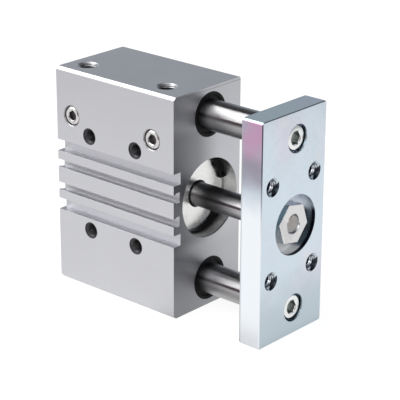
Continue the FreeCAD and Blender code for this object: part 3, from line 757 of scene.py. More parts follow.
@dataclass
class Piece:
    """One named mesh in the making, from one or more lofts."""

    name: str
    sharp: float = 32.0
    mesh: bmesh.types.BMesh = field(default_factory=bmesh.new)

    def loft(self, rings: Sequence[Ring], closed: bool = True) -> "Piece":
        """Join rings of equal length into a skin.

        Args:
            rings: The rings, in order.
            closed: Join the last ring back to the first; otherwise fill both ends.

        Returns:
            This piece.
        """
        rows = [[self.mesh.verts.new(point) for point in ring] for ring in rings]
        pairs = list(zip(rows, rows[1:])) + ([(rows[-1], rows[0])] if closed else [])
        count = len(rows[0])
        for near, far in pairs:
            for step in range(count):
                after = (step + 1) % count
                self.mesh.faces.new((near[step], near[after], far[after], far[step]))
        if not closed:
            self.mesh.faces.new(list(reversed(rows[0])))
            self.mesh.faces.new(rows[-1])
        return self

    def plate(self, loops: Iterable[Ring], depth: float) -> "Piece":
        """Fill flat loops, with holes where a loop lies inside another, and thicken them along X.

        Args:
            loops: The loops, all in one plane across X.
            depth: Thickness, and its direction by its sign.

        Returns:
            This piece.
        """
        edges = []
        for loop in loops:
            verts = [self.mesh.verts.new(point) for point in loop]
            edges += [self.mesh.edges.new(pair) for pair in zip(verts, verts[1:] + verts[:1])]
        filled = bmesh.ops.triangle_fill(self.mesh, use_beauty=True, edges=edges)["geom"]
        faces = [part for part in filled if isinstance(part, bmesh.types.BMFace)]
        pulled = bmesh.ops.extrude_face_region(self.mesh, geom=faces)["geom"]
        moved = [part for part in pulled if isinstance(part, bmesh.types.BMVert)]
        bmesh.ops.translate(self.mesh, verts=moved, vec=(depth, 0.0, 0.0))
        return self

    def helix(self, centre: Vector, axis: Axis, thread: Thread, length: float) -> "Piece":
        """Line a hole with the crests and flanks of its thread.

        Args:
            centre: Where the hole meets the face, on the hole's axis.
            axis: Direction that the hole points out in; the thread runs inwards.
            thread: Sizes of the thread.
            length: Length of the thread.

        Returns:
            This piece.
        """
        steps = int((length / thread.pitch - 1.0) * THREAD_STEPS)
        rows = []
        for step in range(steps + 1):
            angle = 2.0 * math.pi * step / THREAD_STEPS
            crest = -thread.pitch * (step / THREAD_STEPS + 0.5)
            row = []
            for offset, lift in THREAD_SECTION:
                along = crest + offset * thread.pitch
                reach = thread.wall(-along) - thread.depth * lift
                row.append(self.mesh.verts.new(centre + axis.spot(along, reach, angle)))
            rows.append(row)
        for near, far in zip(rows, rows[1:]):
            for side in range(len(near) - 1):
                self.mesh.faces.new((near[side], far[side], far[side + 1], near[side + 1]))
        return self

    def finish(self, look: Finish, body: Body, slot: Slot, stands_for: Iterable[str] = ()) -> None:
        """Turn the mesh into a piece of the scene.

        Args:
            look: Its finish.
            body: The body that it rides on.
            slot: The record's material slot that its finish comes from; not used.
            stands_for: CAD nodes that it replaces.
        """
        bmesh.ops.recalc_face_normals(self.mesh, faces=self.mesh.faces)
        data = bpy.data.meshes.new(self.name)
        self.mesh.to_mesh(data)
        self.mesh.free()
        data.shade_smooth()
        data.set_sharp_from_angle(angle=math.radians(self.sharp))
        data.materials.append(look.build())
        made = add_object(self.name, data)
        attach(made, body.value)
        if stands_for:
            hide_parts(*stands_for)
        LOG.info("%s: %d faces", self.name, len(data.polygons))


def add_object(name: str, data: bpy.types.ID) -> bpy.types.Object:
    """Add an object to the scene.

    Args:
        name: Its name.
        data: Its mesh, camera or lamp.

    Returns:
        The object.
    """
    made = bpy.data.objects.new(name, data)
    bpy.context.scene.collection.objects.link(made)
    return made


def dress(look: Finish, *nodes: str) -> None:
    """Give CAD nodes one finish.

    Args:
        look: The finish.
        nodes: Names of the nodes.
    """
    material = look.build()
    for node in nodes:
        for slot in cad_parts[node].material_slots:
            slot.material = material
        LOG.info("%s dressed in %s", node, material.name)


# ---------------------------------------------------------------- sub-assemblies


@dataclass
class Housing:
    """The extruded housing with the threads of its holes and ports."""

    bore: float = 52.6 * MM
    slot_band: float = 49.4 * MM
    long_chamfer: float = 2.0 * MM
    side_port_front: float = 18.8 * MM
    side_port_rise: float = 117.8 * MM
    mount_inset: float = 33.3 * MM
    mount_along: float = 40.7 * MM
    mount_up: float = 65.5 * MM
    mount_thread: Thread = Thread(8.5 * MM, 11.2 * MM, 1.5 * MM)
    port_thread: Thread = Thread(11.445 * MM, 14.4 * MM, 1.337 * MM)
    port_depth: float = 10.5 * MM
    port_inset: float = 15.6 * MM
    port_front: float = 20.1 * MM
    port_rear: float = 13.5 * MM

    def build(self) -> None:
        """Dress the extrusion and cut its threads."""
        low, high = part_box("housing")
        mid_z = (low.z + high.z) / 2.0
        dress(AnodisedFinish("anodised_aluminium", (0.618, 0.622, 0.650), 0.40, self.worked()), "housing")
        mounts = Piece("mounting_threads")
        for x in (high.x - self.mount_inset, high.x - self.mount_inset - self.mount_along):
            for z in (mid_z + self.mount_up / 2.0, mid_z - self.mount_up / 2.0):
                for y, axis in ((low.y, Axis.MINUS_Y), (high.y, Axis.PLUS_Y)):
                    mounts.helix(Vector((x, y, z)), axis, self.mount_thread, (high.y - low.y) / 2.0)
        ports = Piece("port_threads")
        for x in (high.x - self.port_front, low.x + self.port_rear):
            mouth = Vector((x, low.y + self.port_inset, high.z))
            ports.helix(mouth, Axis.Z, self.port_thread, self.port_depth)
        # Painted shade: the threads of the mounting holes are nearly black.
        tapped = TappedFinish("tapped_aluminium", PAINTED_SHADE, 0.4, bright=(0.14, 0.14, 0.145))
        mounts.finish(tapped, Body.HOUSING, Slot.HOUSING)
        # Painted shade deeper than about 1 to 3 mm down the port threads.
        dark = Worked(beyond(in_mm(high), DOWNWARD, 1.2, 3.4), (0.03, 0.03, 0.032), 0.4)
        bright = TappedFinish("tapped_port", (0.40, 0.40, 0.41), 0.34, (dark,), bright=(0.66, 0.66, 0.68))
        ports.finish(bright, Body.HOUSING, Slot.HOUSING)

    def holes(self, middle_x: float, z: float, thread: Thread, apart: float, up: float) -> RoundRegion:
        """Inside of tapped holes on both sides, about a middle and at half spacings in millimetres."""
        radius = in_mm(thread.mouth) / 2.0 + HOLE_MARGIN
        return RoundRegion((middle_x, 0.0, z), radius, flatten=(1.0, 0.0, 1.0), fold=(apart, 0.0, up))

    def worked(self) -> tuple[Worked, ...]:
        """The honed bore, the mounting holes and the milled front face, with painted light and shade.

        Returns:
            The worked regions of the housing.
        """
        low, high = box_mm("housing")
        mid_z = (low.z + high.z) / 2.0
        axis = in_mm(bore_axis())
        radius = in_mm(self.bore) / 2.0
        behind = beyond(high, BACKWARD, 0.05, 0.2)
        bore = RoundRegion(axis, radius + 1.5) & behind & beyond(low, FORWARD, 0.05, 0.2)
        shade = bore & beyond(axis, (0.0, -0.35, 0.94), 0.0, 14.0)
        rim = RoundRegion(axis, radius + 0.5) & beyond(axis, DOWNWARD, 4.0, 9.0)
        edge = rim & beyond(high, FORWARD, -0.9, -0.6)
        half = in_mm(self.mount_along) / 2.0
        mount_x = high.x - in_mm(self.mount_inset) - half
        mounts = self.holes(mount_x, mid_z, self.mount_thread, half, in_mm(self.mount_up) / 2.0)
        rear, front = low.x + in_mm(self.port_rear), high.x - in_mm(self.side_port_front)
        rise = in_mm(self.side_port_rise)
        side_port_shade = self.holes((front + rear) / 2.0, rise, self.port_thread, (front - rear) / 2.0, 0.0)
        slot_side = beyond(low, OUTWARD, -14.0, -12.0)
        face = beyond(high, FORWARD, -0.15, -0.02)
        near = RampRegion((0.0, -1.0, -0.12), -26.0, 30.0, wander=1.0)
        height = RampRegion(UPWARD, 42.0, 52.0) & RampRegion(DOWNWARD, -134.0, -120.0)
        painted_shade_aside = RampRegion(OUTWARD, -14.0, 12.0) & height
        band = RoundRegion((0.0, 0.0, mid_z), in_mm(self.slot_band) / 2.0, flatten=(0.0, 0.0, 1.0))
        painted_groove_shade = band & behind & slot_side & beyond(low, INWARD, 0.15, 1.2)
        border = in_mm(self.long_chamfer)
        over = beyond(high, UPWARD, -border - 0.05, -border + 0.05)
        soft = over & beyond(high, DOWNWARD, border - 0.5, border - 0.1)
        return (
            # Painted shade on the milled front face: darker towards the bottom, towards the near edge, and
            # beside the bore on the slot side.
            Worked(face & RampRegion(DOWNWARD, -62.0, -38.0), (0.42, 0.42, 0.435), 0.38, share=0.5),
            Worked(face & near, (0.235, 0.243, 0.262), 0.38, share=0.6),
            Worked(face & painted_shade_aside, (0.02, 0.022, 0.028), 0.38, share=0.43),
            # Painted shade inside the sensor slots.
            Worked(painted_groove_shade, (0.545, 0.548, 0.572), 0.45, share=0.85),
            # Painted shade: a thin dark line along the lower edge of the long chamfers at the top.
            Worked(soft, (0.26, 0.26, 0.27), 0.45),
            # Partly real, partly painted light: the honed bore's bare metal, painted brighter to stand in for
            # light in the recess.
            Worked(bore, (0.97, 0.96, 0.94), 0.42),
            # Painted shade on the upper part of the bore wall.
            Worked(shade, (0.28, 0.28, 0.27), 0.35, share=0.85),
            # Painted shade: a thin dark line at the lower rim of the bore's mouth.
            Worked(edge, (0.12, 0.12, 0.12), 0.4, share=0.8),
            # Painted shade inside the side ports, round the plugs.
            Worked(slot_side & side_port_shade, (0.34, 0.34, 0.35), 0.3),
            # Painted shade inside the mounting holes.
            Worked(mounts, (0.055, 0.055, 0.06), 0.55),
        )


@dataclass
class RetainingRings:
    """The ring in front of each cap: a C with a wide lug and a plier hole at either end."""

    thickness: float = 2.0 * MM
    gap: float = 11.0 * MM
    lug: float = 21.1 * MM
    lug_end: float = 42.0
    waist: float = 23.3 * MM
    waist_at: float = 56.0
    slim: float = 24.7 * MM
    slim_at: float = 115.0
    hole: float = 2.5 * MM
    hole_up: float = 8.3 * MM
    hole_reach: float = 23.6 * MM
    hole_points: int = 24

    def build(self) -> None:
        """Make both rings in one mesh."""
        low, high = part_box("retaining_rings")
        rings = Piece("circlips")
        for face, depth in ((high.x, -self.thickness), (low.x, self.thickness)):
            centre = Vector((face, bore_axis().y, bore_axis().z))
            rings.plate(self.loops(centre, (high.z - low.z) / 2.0), depth)
        dark = (0.006, 0.006, 0.007)
        spring = MouldedFinish("blackened_spring_steel", dark, 0.4, dusty=(0.012, 0.012, 0.012), shine=0.12)
        rings.finish(spring, Body.HOUSING, Slot.SPRING, ["retaining_rings"])

    def inner(self, angle: float) -> float:
        """Radius of the inner edge.

        Args:
            angle: Angle in degrees from the middle of the gap.

        Returns:
            The radius.
        """
        wide = ((0.0, self.lug), (self.lug_end, self.lug))
        stations = (*wide, (self.waist_at, self.waist), (self.slim_at, self.slim))
        for (start, near), (end, far) in zip(stations, stations[1:]):
            if angle <= end:
                share = (angle - start) / (end - start)
                return near + (far - near) * share * share * (3.0 - 2.0 * share)
        return self.slim

    def loops(self, centre: Vector, outer: float) -> list[Ring]:
        """Outline of one ring and its plier holes, with the gap towards +Y.

        Args:
            centre: Middle of the ring's face.
            outer: Radius of its outer edge.

        Returns:
            The loops.
        """

        def sweep(edge: float) -> list[float]:
            """Angles in degrees all round an edge of that radius, from one side of the gap to the other."""
            first = math.degrees(math.asin(self.gap / 2.0 / edge))
            return [first + (360.0 - 2.0 * first) * step / AROUND for step in range(AROUND + 1)]

        def spot(radius: float, angle: float) -> Vector:
            """A point of the ring's face, the angle in degrees from the middle of the gap."""
            return centre + Axis.X.spot(0.0, radius, math.radians(angle))

        outside = [spot(outer, angle) for angle in sweep(outer)]
        inside = [spot(self.inner(min(angle, 360.0 - angle)), angle) for angle in reversed(sweep(self.lug))]
        across = math.sqrt(self.hole_reach**2 - self.hole_up**2)
        eyes = [centre + Vector((0.0, across, up)) for up in (self.hole_up, -self.hole_up)]
        rims = [round_ring(Axis.X, eye, 0.0, self.hole / 2.0) for eye in eyes]
        return [outside + inside, *(rim[:: AROUND // self.hole_points] for rim in rims)]


@dataclass
class CylinderEnd:
    """Bearing cap, seals, bush and rear cap."""

    def build(self) -> None:
        """Dress the pieces in the bore."""
        bright = TurnedFinish("turned_aluminium", (0.88, 0.875, 0.86), 0.24, anisotropy=0.6)
        inner = TurnedFinish("turned_aluminium_inside", (0.70, 0.70, 0.695), 0.34, anisotropy=0.4)
        dress(bright, "bearing_cap")
        dress(inner, "rear_cap", "piston")
        dress(RUBBER, "cap_o_rings", "rod_seal", "piston_seals", "piston_bumpers")
        dress(TurnedFinish("sintered_bronze", (0.58, 0.40, 0.20), 0.42), "rod_bush")


@dataclass
class Guides:
    """Both guide rods with their wipers and ball bearings."""

    def build(self) -> None:
        """Dress the guides."""
        face = box_mm("housing")[1]
        # Painted shade on the rods just in front of the wipers.
        painted_seal_shade = Worked(beyond(face, BACKWARD, -11.0, -1.0, wander=2.0), PAINTED_SHADE, 0.28, share=0.7)
        # Painted highlight low on the lower rod's underside.
        bright = Worked(RampRegion(DOWNWARD, -17.5, -12.5), (0.66, 0.64, 0.65), 0.24, share=0.8)
        # Painted shade on the lower part of the upper rod.
        under = RampRegion(UPWARD, 90.0, 95.0) & RampRegion(DOWNWARD, -129.5, -126.0)
        shaded = Worked(under, (0.24, 0.24, 0.25), 0.24, share=0.7)
        chrome = ChromeFinish("hard_chrome", CHROME, 0.21, (bright, shaded, painted_seal_shade), anisotropy=1.0)
        dress(chrome, "upper_guide_rod", "lower_guide_rod")
        dress(RUBBER, "guide_wipers")
        dress(ChromeFinish("ground_bearing_steel", (0.56, 0.57, 0.58), 0.2), "bearing_sleeves")
        cage = MouldedFinish("moulded_cage", (0.07, 0.07, 0.075), 0.45, dusty=(0.12, 0.12, 0.12))
        dress(cage, "ball_cages")


@dataclass
class Plugs:
    """Socket plugs in the two side ports."""

    thread: float = 13.0 * MM
    core: float = 12.0 * MM
    face: float = 10.7 * MM
    socket: float = 6.0 * MM
    socket_depth: float = 4.0 * MM
    pitch: float = 1.337 * MM
    run_out_start: float = 0.5 * MM
    run_out: float = 0.9 * MM
    flank: float = 2.6
    rings_a_turn: int = 8
    front_turn: float = 0.9
    rear_turn: float = 2.6

    def build(self) -> None:
        """Make both plugs in one mesh, each with its thread running out at the face."""
        low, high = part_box("port_plugs")
        plugs = Piece("socket_plugs", sharp=24.0)
        half = self.thread / 2.0
        for x, turn in ((high.x - half, self.front_turn), (low.x + half, self.rear_turn)):
            centre = Vector((x, low.y, (low.z + high.z) / 2.0))
            plugs.loft(turned(Axis.MINUS_Y, centre, self.profile(low.y - high.y), turn), closed=False)
        # Painted shade below the plugs' faces: in the sockets and on the threads.
        painted_plug_shade = Worked(beyond(in_mm(low), INWARD, 0.2, 0.9, wander=0.6), (0.17, 0.16, 0.165), 0.4, share=0.9)
        nickel = ChromeFinish("nickel_plate", (0.66, 0.64, 0.64), 0.2, (painted_plug_shade,), stretch=EVEN)
        plugs.finish(nickel, Body.HOUSING, Slot.PLUG, ["port_plugs"])

    def threaded(self, depth: float) -> Callable[[float], float]:
        """Radius of the thread's section, by angle.

        Args:
            depth: How far below the face the section lies.

        Returns:
            A function of the angle in radians.
        """
        fade = min(1.0, max(0.0, (depth - self.run_out_start) / self.run_out))

        def radius(angle: float) -> float:
            """Radius at one angle."""
            crest = 1.0 - abs((depth / self.pitch - angle / (2.0 * math.pi)) % 1.0 - 0.5) * self.flank
            return (self.core + (self.thread - self.core) * max(0.0, crest) * fade) / 2.0

        return radius

    def profile(self, end: float) -> Profile:
        """Profile of a plug from the bottom of its socket round to its inner end.

        Args:
            end: Where the plug ends, measured from the face.

        Returns:
            The profile.
        """
        hexagon = six_sided(self.socket)
        corner = self.socket / math.sqrt(3.0)
        points: Profile = [
            (-self.socket_depth, 0.3 * MM),
            (-self.socket_depth + 0.6 * MM, six_sided(self.socket, 0.9)),
            (-self.socket_depth + 0.6 * MM, hexagon),
            (-0.6 * MM, hexagon),
            (-0.05 * MM, corner + 0.35 * MM),
            (0.0, corner + 0.55 * MM),
            (0.0, self.face / 2.0 - 0.15 * MM),
            (-0.1 * MM, self.face / 2.0),
            (-0.5 * MM, self.core / 2.0 - 0.1 * MM),
        ]
        depth = 0.55 * MM
        while depth < -end - 0.2 * MM:
            points.append((-depth, self.threaded(depth)))
            depth += self.pitch / self.rings_a_turn
        points.append((end, self.core / 2.0 - 0.3 * MM))
        return points


@dataclass
class ToolPlate:
    """Zinc-plated plate with the threads of its tool holes."""

    spacing_across: float = 40.6 * MM
    spacing_up: float = 61.5 * MM
    screw_pocket: float = 18.5 * MM
    nut_pocket: float = 39.0 * MM
    thread: Thread = Thread(8.5 * MM, 12.2 * MM, 1.5 * MM)

    def build(self) -> None:
        """Dress the plate and cut its threads."""
        low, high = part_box("tool_plate")
        zinc = ZincFinish("bright_zinc", (0.665, 0.75, 0.825), worked=self.worked(), flush=(0.72, 0.72, 0.81))
        dress(zinc, "tool_plate")
        threads = Piece("tool_threads")
        for spot in self.spots():
            threads.helix(spot, Axis.X, self.thread, high.x - low.x)
        face = in_mm(high)
        # Painted shade deep in the tool threads.
        dark = Worked(beyond(face, BACKWARD, 1.6, 4.0), (0.02, 0.025, 0.03), 0.3)
        # Painted highlight: a bright band 3 to 5 mm down the tool threads.
        painted_glint = beyond(face, BACKWARD, 2.9, 3.5) & beyond(face, FORWARD, -5.4, -4.8)
        band = Worked(painted_glint, (0.86, 0.90, 0.98), 0.3)
        worked = (dark, *self.hole_shades(), band)
        cut = TappedFinish("tapped_zinc", (0.42, 0.47, 0.53), 0.16, worked, bright=(0.95, 0.98, 1.0))
        threads.finish(cut, Body.CARRIAGE, Slot.PLATE)

    def spots(self) -> list[Vector]:
        """Where the axes of the tool holes meet the front face.

        Returns:
            The four places.
        """
        low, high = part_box("tool_plate")
        mid_z = (low.z + high.z) / 2.0
        rows = (mid_z + self.spacing_up / 2.0, mid_z - self.spacing_up / 2.0)
        columns = (self.spacing_across / 2.0, -self.spacing_across / 2.0)
        return [Vector((high.x, y, z)) for y in columns for z in rows]

    def hole_shades(self) -> list[Worked]:
        """Painted shade on the far side of each tool hole.

        Returns:
            The worked regions.
        """
        ahead = beyond(box_mm("tool_plate")[0], FORWARD, 0.3, 1.0)
        shades = []
        for spot in self.spots():
            hole = RoundRegion(in_mm(spot), in_mm(self.thread.mouth) / 2.0 + HOLE_MARGIN)
            far = hole & ahead & beyond(in_mm(spot), (0.0, 0.80, -0.60), 2.6, 3.5)
            shades.append(Worked(far, (0.015, 0.02, 0.03), 0.3, share=0.95))
        return shades

    def film_and_painted_light(self) -> tuple[Worked, ...]:
        """Tints of the passivation film, with painted light and shade by face and height.

        Returns:
            The worked regions of the plate's faces.
        """
        low, high = box_mm("tool_plate")
        side = beyond(low, OUTWARD, -0.8, -0.1)
        top = beyond(high, UPWARD, -0.5, -0.1)
        corner = beyond(Vector((high.x, low.y, 0.0)), (1.0, -1.0, 0.0), -0.62, -0.52)
        foot = RampRegion(DOWNWARD, 20.0 - (low.z + high.z) / 2.0, 60.0 - (low.z + high.z) / 2.0, 30.0)
        pale = RampRegion(DOWNWARD, -106.0, -85.0, 14.0)
        mauve = RampRegion(UPWARD, 98.0, 124.0, 30.0)
        dusky = RampRegion(UPWARD, 101.0, 113.0, 14.0) & RampRegion(DOWNWARD, -130.0, -118.0, 20.0)
        pink = RampRegion(UPWARD, 122.0, 140.0, 40.0) & RampRegion(FORWARD, 102.0, 116.0, 40.0)
        return (
            # Painted shade: the plate darker towards the bottom.
            Worked(foot, (0.50, 0.585, 0.635), 0.26, share=0.85),
            # Painted shade: the side face darker than the front.
            Worked(side, (0.57, 0.63, 0.70), 0.26, share=0.85),
            # Painted light: the side face lighter low down.
            Worked(side & pale, (0.87, 0.905, 0.945), 0.26),
            Worked(side & mauve, (0.44, 0.38, 0.48), 0.26),
            Worked(side & dusky, (0.25, 0.24, 0.29), 0.3, share=0.6),
            Worked(side & pink, (0.54, 0.30, 0.46), 0.26, share=0.75),
            # Painted shade: the top face darker.
            Worked(top, (0.42, 0.53, 0.57), 0.28, share=0.85),
            Worked(top & RampRegion(INWARD, -8.0, 34.0, 20.0), (0.50, 0.50, 0.62), 0.28, share=0.7),
            # Painted shade: the back face darker.
            Worked(beyond(low, BACKWARD, -1.5, 0.0), (0.42, 0.46, 0.50), 0.3, share=0.8),
            # Painted shade: a dark line up the upper part of the front corner's chamfer.
            Worked(corner & RampRegion(UPWARD, 70.0, 125.0, 20.0), (0.10, 0.09, 0.13), 0.3),
        )

    def worked(self) -> tuple[Worked, ...]:
        """The film's tints with its faces' painted light and shade and, over them, painted shade in the holes
        and pockets and painted light on the nut pocket's walls.

        Returns:
            The worked regions of the plate.
        """
        low, high = box_mm("tool_plate")
        mid_z = (low.z + high.z) / 2.0
        axis = in_mm(bore_axis())
        inside = beyond(high, BACKWARD, 0.5, 1.1) & beyond(low, FORWARD, 0.3, 1.0)
        guides = in_mm(middle("upper_guide_rod").z - middle("lower_guide_rod").z) / 2.0
        heads = in_mm(self.screw_pocket) / 2.0 + HOLE_MARGIN
        screws = RoundRegion((0.0, 0.0, mid_z), heads, fold=(0.0, 0.0, guides))
        spacing = (0.0, in_mm(self.spacing_across) / 2.0, in_mm(self.spacing_up) / 2.0)
        holes = RoundRegion((0.0, 0.0, mid_z), in_mm(self.thread.mouth) / 2.0 + HOLE_MARGIN, fold=spacing)
        pocket = in_mm(self.nut_pocket) / 2.0
        hollow = RoundRegion(axis, pocket + HOLE_MARGIN) & inside
        far_wall = hollow & beyond(axis, (0.0, 0.90, -0.44), 14.0, 17.0)
        top_wall = hollow & beyond(axis, (0.0, 0.10, 0.995), 9.0, 14.0)
        low_wall = hollow & beyond(axis, (0.0, -0.42, -0.91), 11.0, 14.0)
        near_wall = hollow & beyond(axis, (0.0, -1.0, 0.05), 8.0, 12.0)
        mouth = RoundRegion(axis, pocket + 0.35) & beyond(high, FORWARD, -2.8, -2.2)
        return (
            *self.film_and_painted_light(),
            # Painted shade inside the tool holes.
            Worked(holes & inside, (0.16, 0.18, 0.20), 0.2),
            *self.hole_shades(),
            # Painted light: the nut pocket's walls lighter than the plate.
            Worked(hollow, (0.86, 0.90, 0.94), 0.36, share=0.9),
            # Painted shade on the nut pocket's upper wall.
            Worked(top_wall, (0.58, 0.60, 0.70), 0.36, share=0.7),
            # Painted shade, blue-grey, on the pocket's near wall.
            Worked(near_wall, (0.48, 0.61, 0.67), 0.36, share=0.9),
            # Painted light: the pocket's lower wall a matt white that catches the light.
            Worked(low_wall, (1.0, 1.0, 1.0), 0.5, metal=0.1),
            # Painted shade on the pocket's far wall.
            Worked(far_wall, (0.12, 0.145, 0.17), 0.2),
            # Painted shade: a dark crescent at the lower far side of the pocket's mouth.
            Worked(mouth & beyond(axis, (0.0, 0.50, -0.87), 1.0, 7.0), (0.02, 0.025, 0.04), 0.3),
            # Painted shade in the screw pockets.
            Worked(screws & inside, (0.05, 0.055, 0.06), 0.35),
        )


@dataclass
class RodNut:
    """Chamfered hexagon nut on the front spigot of the piston rod."""

    flats: float = 24.5 * MM
    seat: float = 23.2 * MM
    bore: float = 12.1 * MM
    mouth: float = 13.3 * MM
    turn: float = 48.5
    chamfer: float = 30.0
    broken: float = 0.15 * MM

    def build(self) -> None:
        """Make the nut, its seat chamfered and the edges of its outer face broken."""
        low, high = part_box("rod_nut")
        centre = Vector((0.0, bore_axis().y, bore_axis().z))
        turn = math.radians(self.turn)
        outline = six_sided(self.flats)
        profile = [
            (high.x, self.mouth / 2.0),
            (high.x, lambda angle: outline(angle) - self.broken),
            (high.x - self.broken, outline),
            (low.x, outline),
            (low.x, self.seat / 2.0),
            (low.x, self.bore / 2.0),
            (high.x - 0.6 * MM, self.bore / 2.0),
        ]
        rings = turned(Axis.X, centre, profile, turn)
        skirt = rings[3]
        for step, point in enumerate(skirt):
            over = outline(2.0 * math.pi * step / AROUND) - self.seat / 2.0
            point.x += over * math.tan(math.radians(self.chamfer))
        bluish = Worked(beyond(in_mm(high), BACKWARD, 0.2, 0.5), (0.62, 0.68, 0.71), 0.24, share=0.9)
        film = {"flush": (0.64, 0.63, 0.64), "size": 0.08}
        zinc = ZincFinish("nut_zinc", (0.72, 0.72, 0.72), 0.26, (bluish,), **film)
        Piece("hex_nut", sharp=12.0).loft(rings).finish(zinc, Body.CARRIAGE, Slot.NUT, ["rod_nut"])


@dataclass
class PlateScrews:
    """Low-head socket screws that hold the guide rods."""

    head: float = 16.0 * MM
    head_height: float = 6.5 * MM
    shank: float = 10.0 * MM
    socket: float = 8.0 * MM
    socket_depth: float = 3.6 * MM
    knurl: float = 0.12 * MM

    def build(self) -> None:
        """Make both screws in one mesh."""
        low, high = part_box("plate_screws")
        screws = Piece("socket_screws", sharp=24.0)
        for node in ("upper_guide_rod", "lower_guide_rod"):
            centre = Vector((high.x, middle(node).y, middle(node).z))
            screws.loft(turned(Axis.X, centre, self.profile(low.x - high.x)), closed=False)
        # Painted shade below the heads' faces: in the sockets and round the rims.
        painted_screw_shade = Worked(beyond(in_mm(high), BACKWARD, 0.35, 1.1), (0.20, 0.225, 0.21), 0.35, share=0.9)
        film = {"flush": (0.84, 0.85, 0.86), "size": 0.1}
        zinc = ZincFinish("screw_zinc", (0.88, 0.89, 0.885), 0.24, (painted_screw_shade,), **film)
        screws.finish(zinc, Body.CARRIAGE, Slot.SCREW, ["plate_screws"])

    def profile(self, end: float) -> Profile:
        """Profile of a screw from the bottom of its socket round to the end of its shank.

        Args:
            end: Where the shank ends, measured from the head's face.

        Returns:
            The profile.
        """
        hexagon = six_sided(self.socket)
        half = self.head / 2.0

        def knurled(angle: float) -> float:
            """Radius of the knurled rim."""
            tooth = round(angle * AROUND / (2.0 * math.pi)) % 2
            return half - self.knurl * tooth

        return [
            (-self.socket_depth, 0.3 * MM),
            (-self.socket_depth + 0.5 * MM, six_sided(self.socket, 0.92)),
            (-self.socket_depth + 0.5 * MM, hexagon),
            (-0.5 * MM, hexagon),
            (0.0, self.socket / math.sqrt(3.0) + 0.25 * MM),
            (0.0, half - 1.1 * MM),
            (-0.15 * MM, half - 0.6 * MM),
            (-0.55 * MM, half - 0.2 * MM),
            (-1.0 * MM, half),
            (-1.2 * MM, knurled),
            (-self.head_height + 0.6 * MM, knurled),
            (-self.head_height + 0.3 * MM, half - 0.1 * MM),
            (-self.head_height, half - 0.5 * MM),
            (-self.head_height, self.shank / 2.0),
            (end + 0.8 * MM, self.shank / 2.0),
            (end, self.shank / 2.0 - 0.8 * MM),
        ]


@dataclass
class PistonGroup:
    """Piston rod, and the running parts on the piston."""

    end_hub: float = 0.2 * MM
    end_radius: float = 5.2 * MM
    end_skin: float = 0.05 * MM
    end_hidden: float = 0.1 * MM

    def build(self) -> None:
        """Dress the pieces that run in the bore, and face the rod's sawn end."""
        chrome = ChromeFinish("rod_chrome", CHROME, 0.21, self.worked(), anisotropy=1.0)
        dress(chrome, "piston_rod")
        front = Vector((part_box("piston_rod")[1].x, bore_axis().y, bore_axis().z))
        profile = [
            (-self.end_hidden, self.end_hub),
            (self.end_skin, self.end_hub),
            (self.end_skin, self.end_radius),
            (-self.end_hidden, self.end_radius),
        ]
        sawn = TappedFinish("sawn_rod_end", (0.34, 0.32, 0.31), 0.42, bright=(0.56, 0.54, 0.52))
        cap = Piece("rod_end").loft(turned(Axis.X, front, profile), closed=False)
        cap.finish(sawn, Body.CARRIAGE, Slot.ROD)
        nut = ZincFinish("inner_nut_zinc", (0.80, 0.81, 0.82), flush=(0.76, 0.76, 0.80), size=0.1)
        polymer = MouldedFinish("wear_ring_polymer", (0.10, 0.09, 0.07), 0.4, dusty=(0.16, 0.15, 0.12))
        magnet = MouldedFinish("bonded_magnet", (0.045, 0.045, 0.05), 0.6, dusty=(0.09, 0.09, 0.09))
        dress(nut, "piston_nut")
        dress(polymer, "wear_ring")
        dress(magnet, "magnet_ring")

    def worked(self) -> tuple[Worked, ...]:
        """Painted shade near the seal and along the top, a painted dark streak on the near side, and a
        painted highlight on the underside.

        Returns:
            The worked regions of the piston rod.
        """
        face = box_mm("bearing_cap")[1]
        axis = in_mm(bore_axis())
        painted_seal_shade = beyond(face, BACKWARD, -44.0, -12.0, wander=8.0)
        upper = beyond(axis, (0.0, 0.467, 0.884), -1.5, 2.0)
        underside = beyond(axis, (0.0, -0.5, -0.866), -6.0, -1.0)
        painted_underside_highlight = beyond(face, FORWARD, 34.0, 60.0, wander=4.0) & underside
        painted_dark_streak = beyond(face, FORWARD, 8.0, 15.0) & beyond(face, BACKWARD, -38.0, -22.0)
        return (
            # Painted shade on the rod near the bearing cap.
            Worked(painted_seal_shade, PAINTED_SHADE, 0.2, share=0.3),
            # Painted shade along the top of the rod.
            Worked(upper, PAINTED_SHADE, 0.2, share=0.25),
            # Painted highlight along the underside, out towards the plate.
            Worked(painted_underside_highlight, (0.86, 0.84, 0.85), 0.2, share=0.7),
            # Painted dark reflection: a streak on the near side, a little way out from the cap.
            Worked(painted_dark_streak & beyond(axis, (0.0, -0.94, 0.34), 2.5, 6.5), PAINTED_SHADE, 0.2, share=0.55),
        )


# ---------------------------------------------------------------- camera and studio


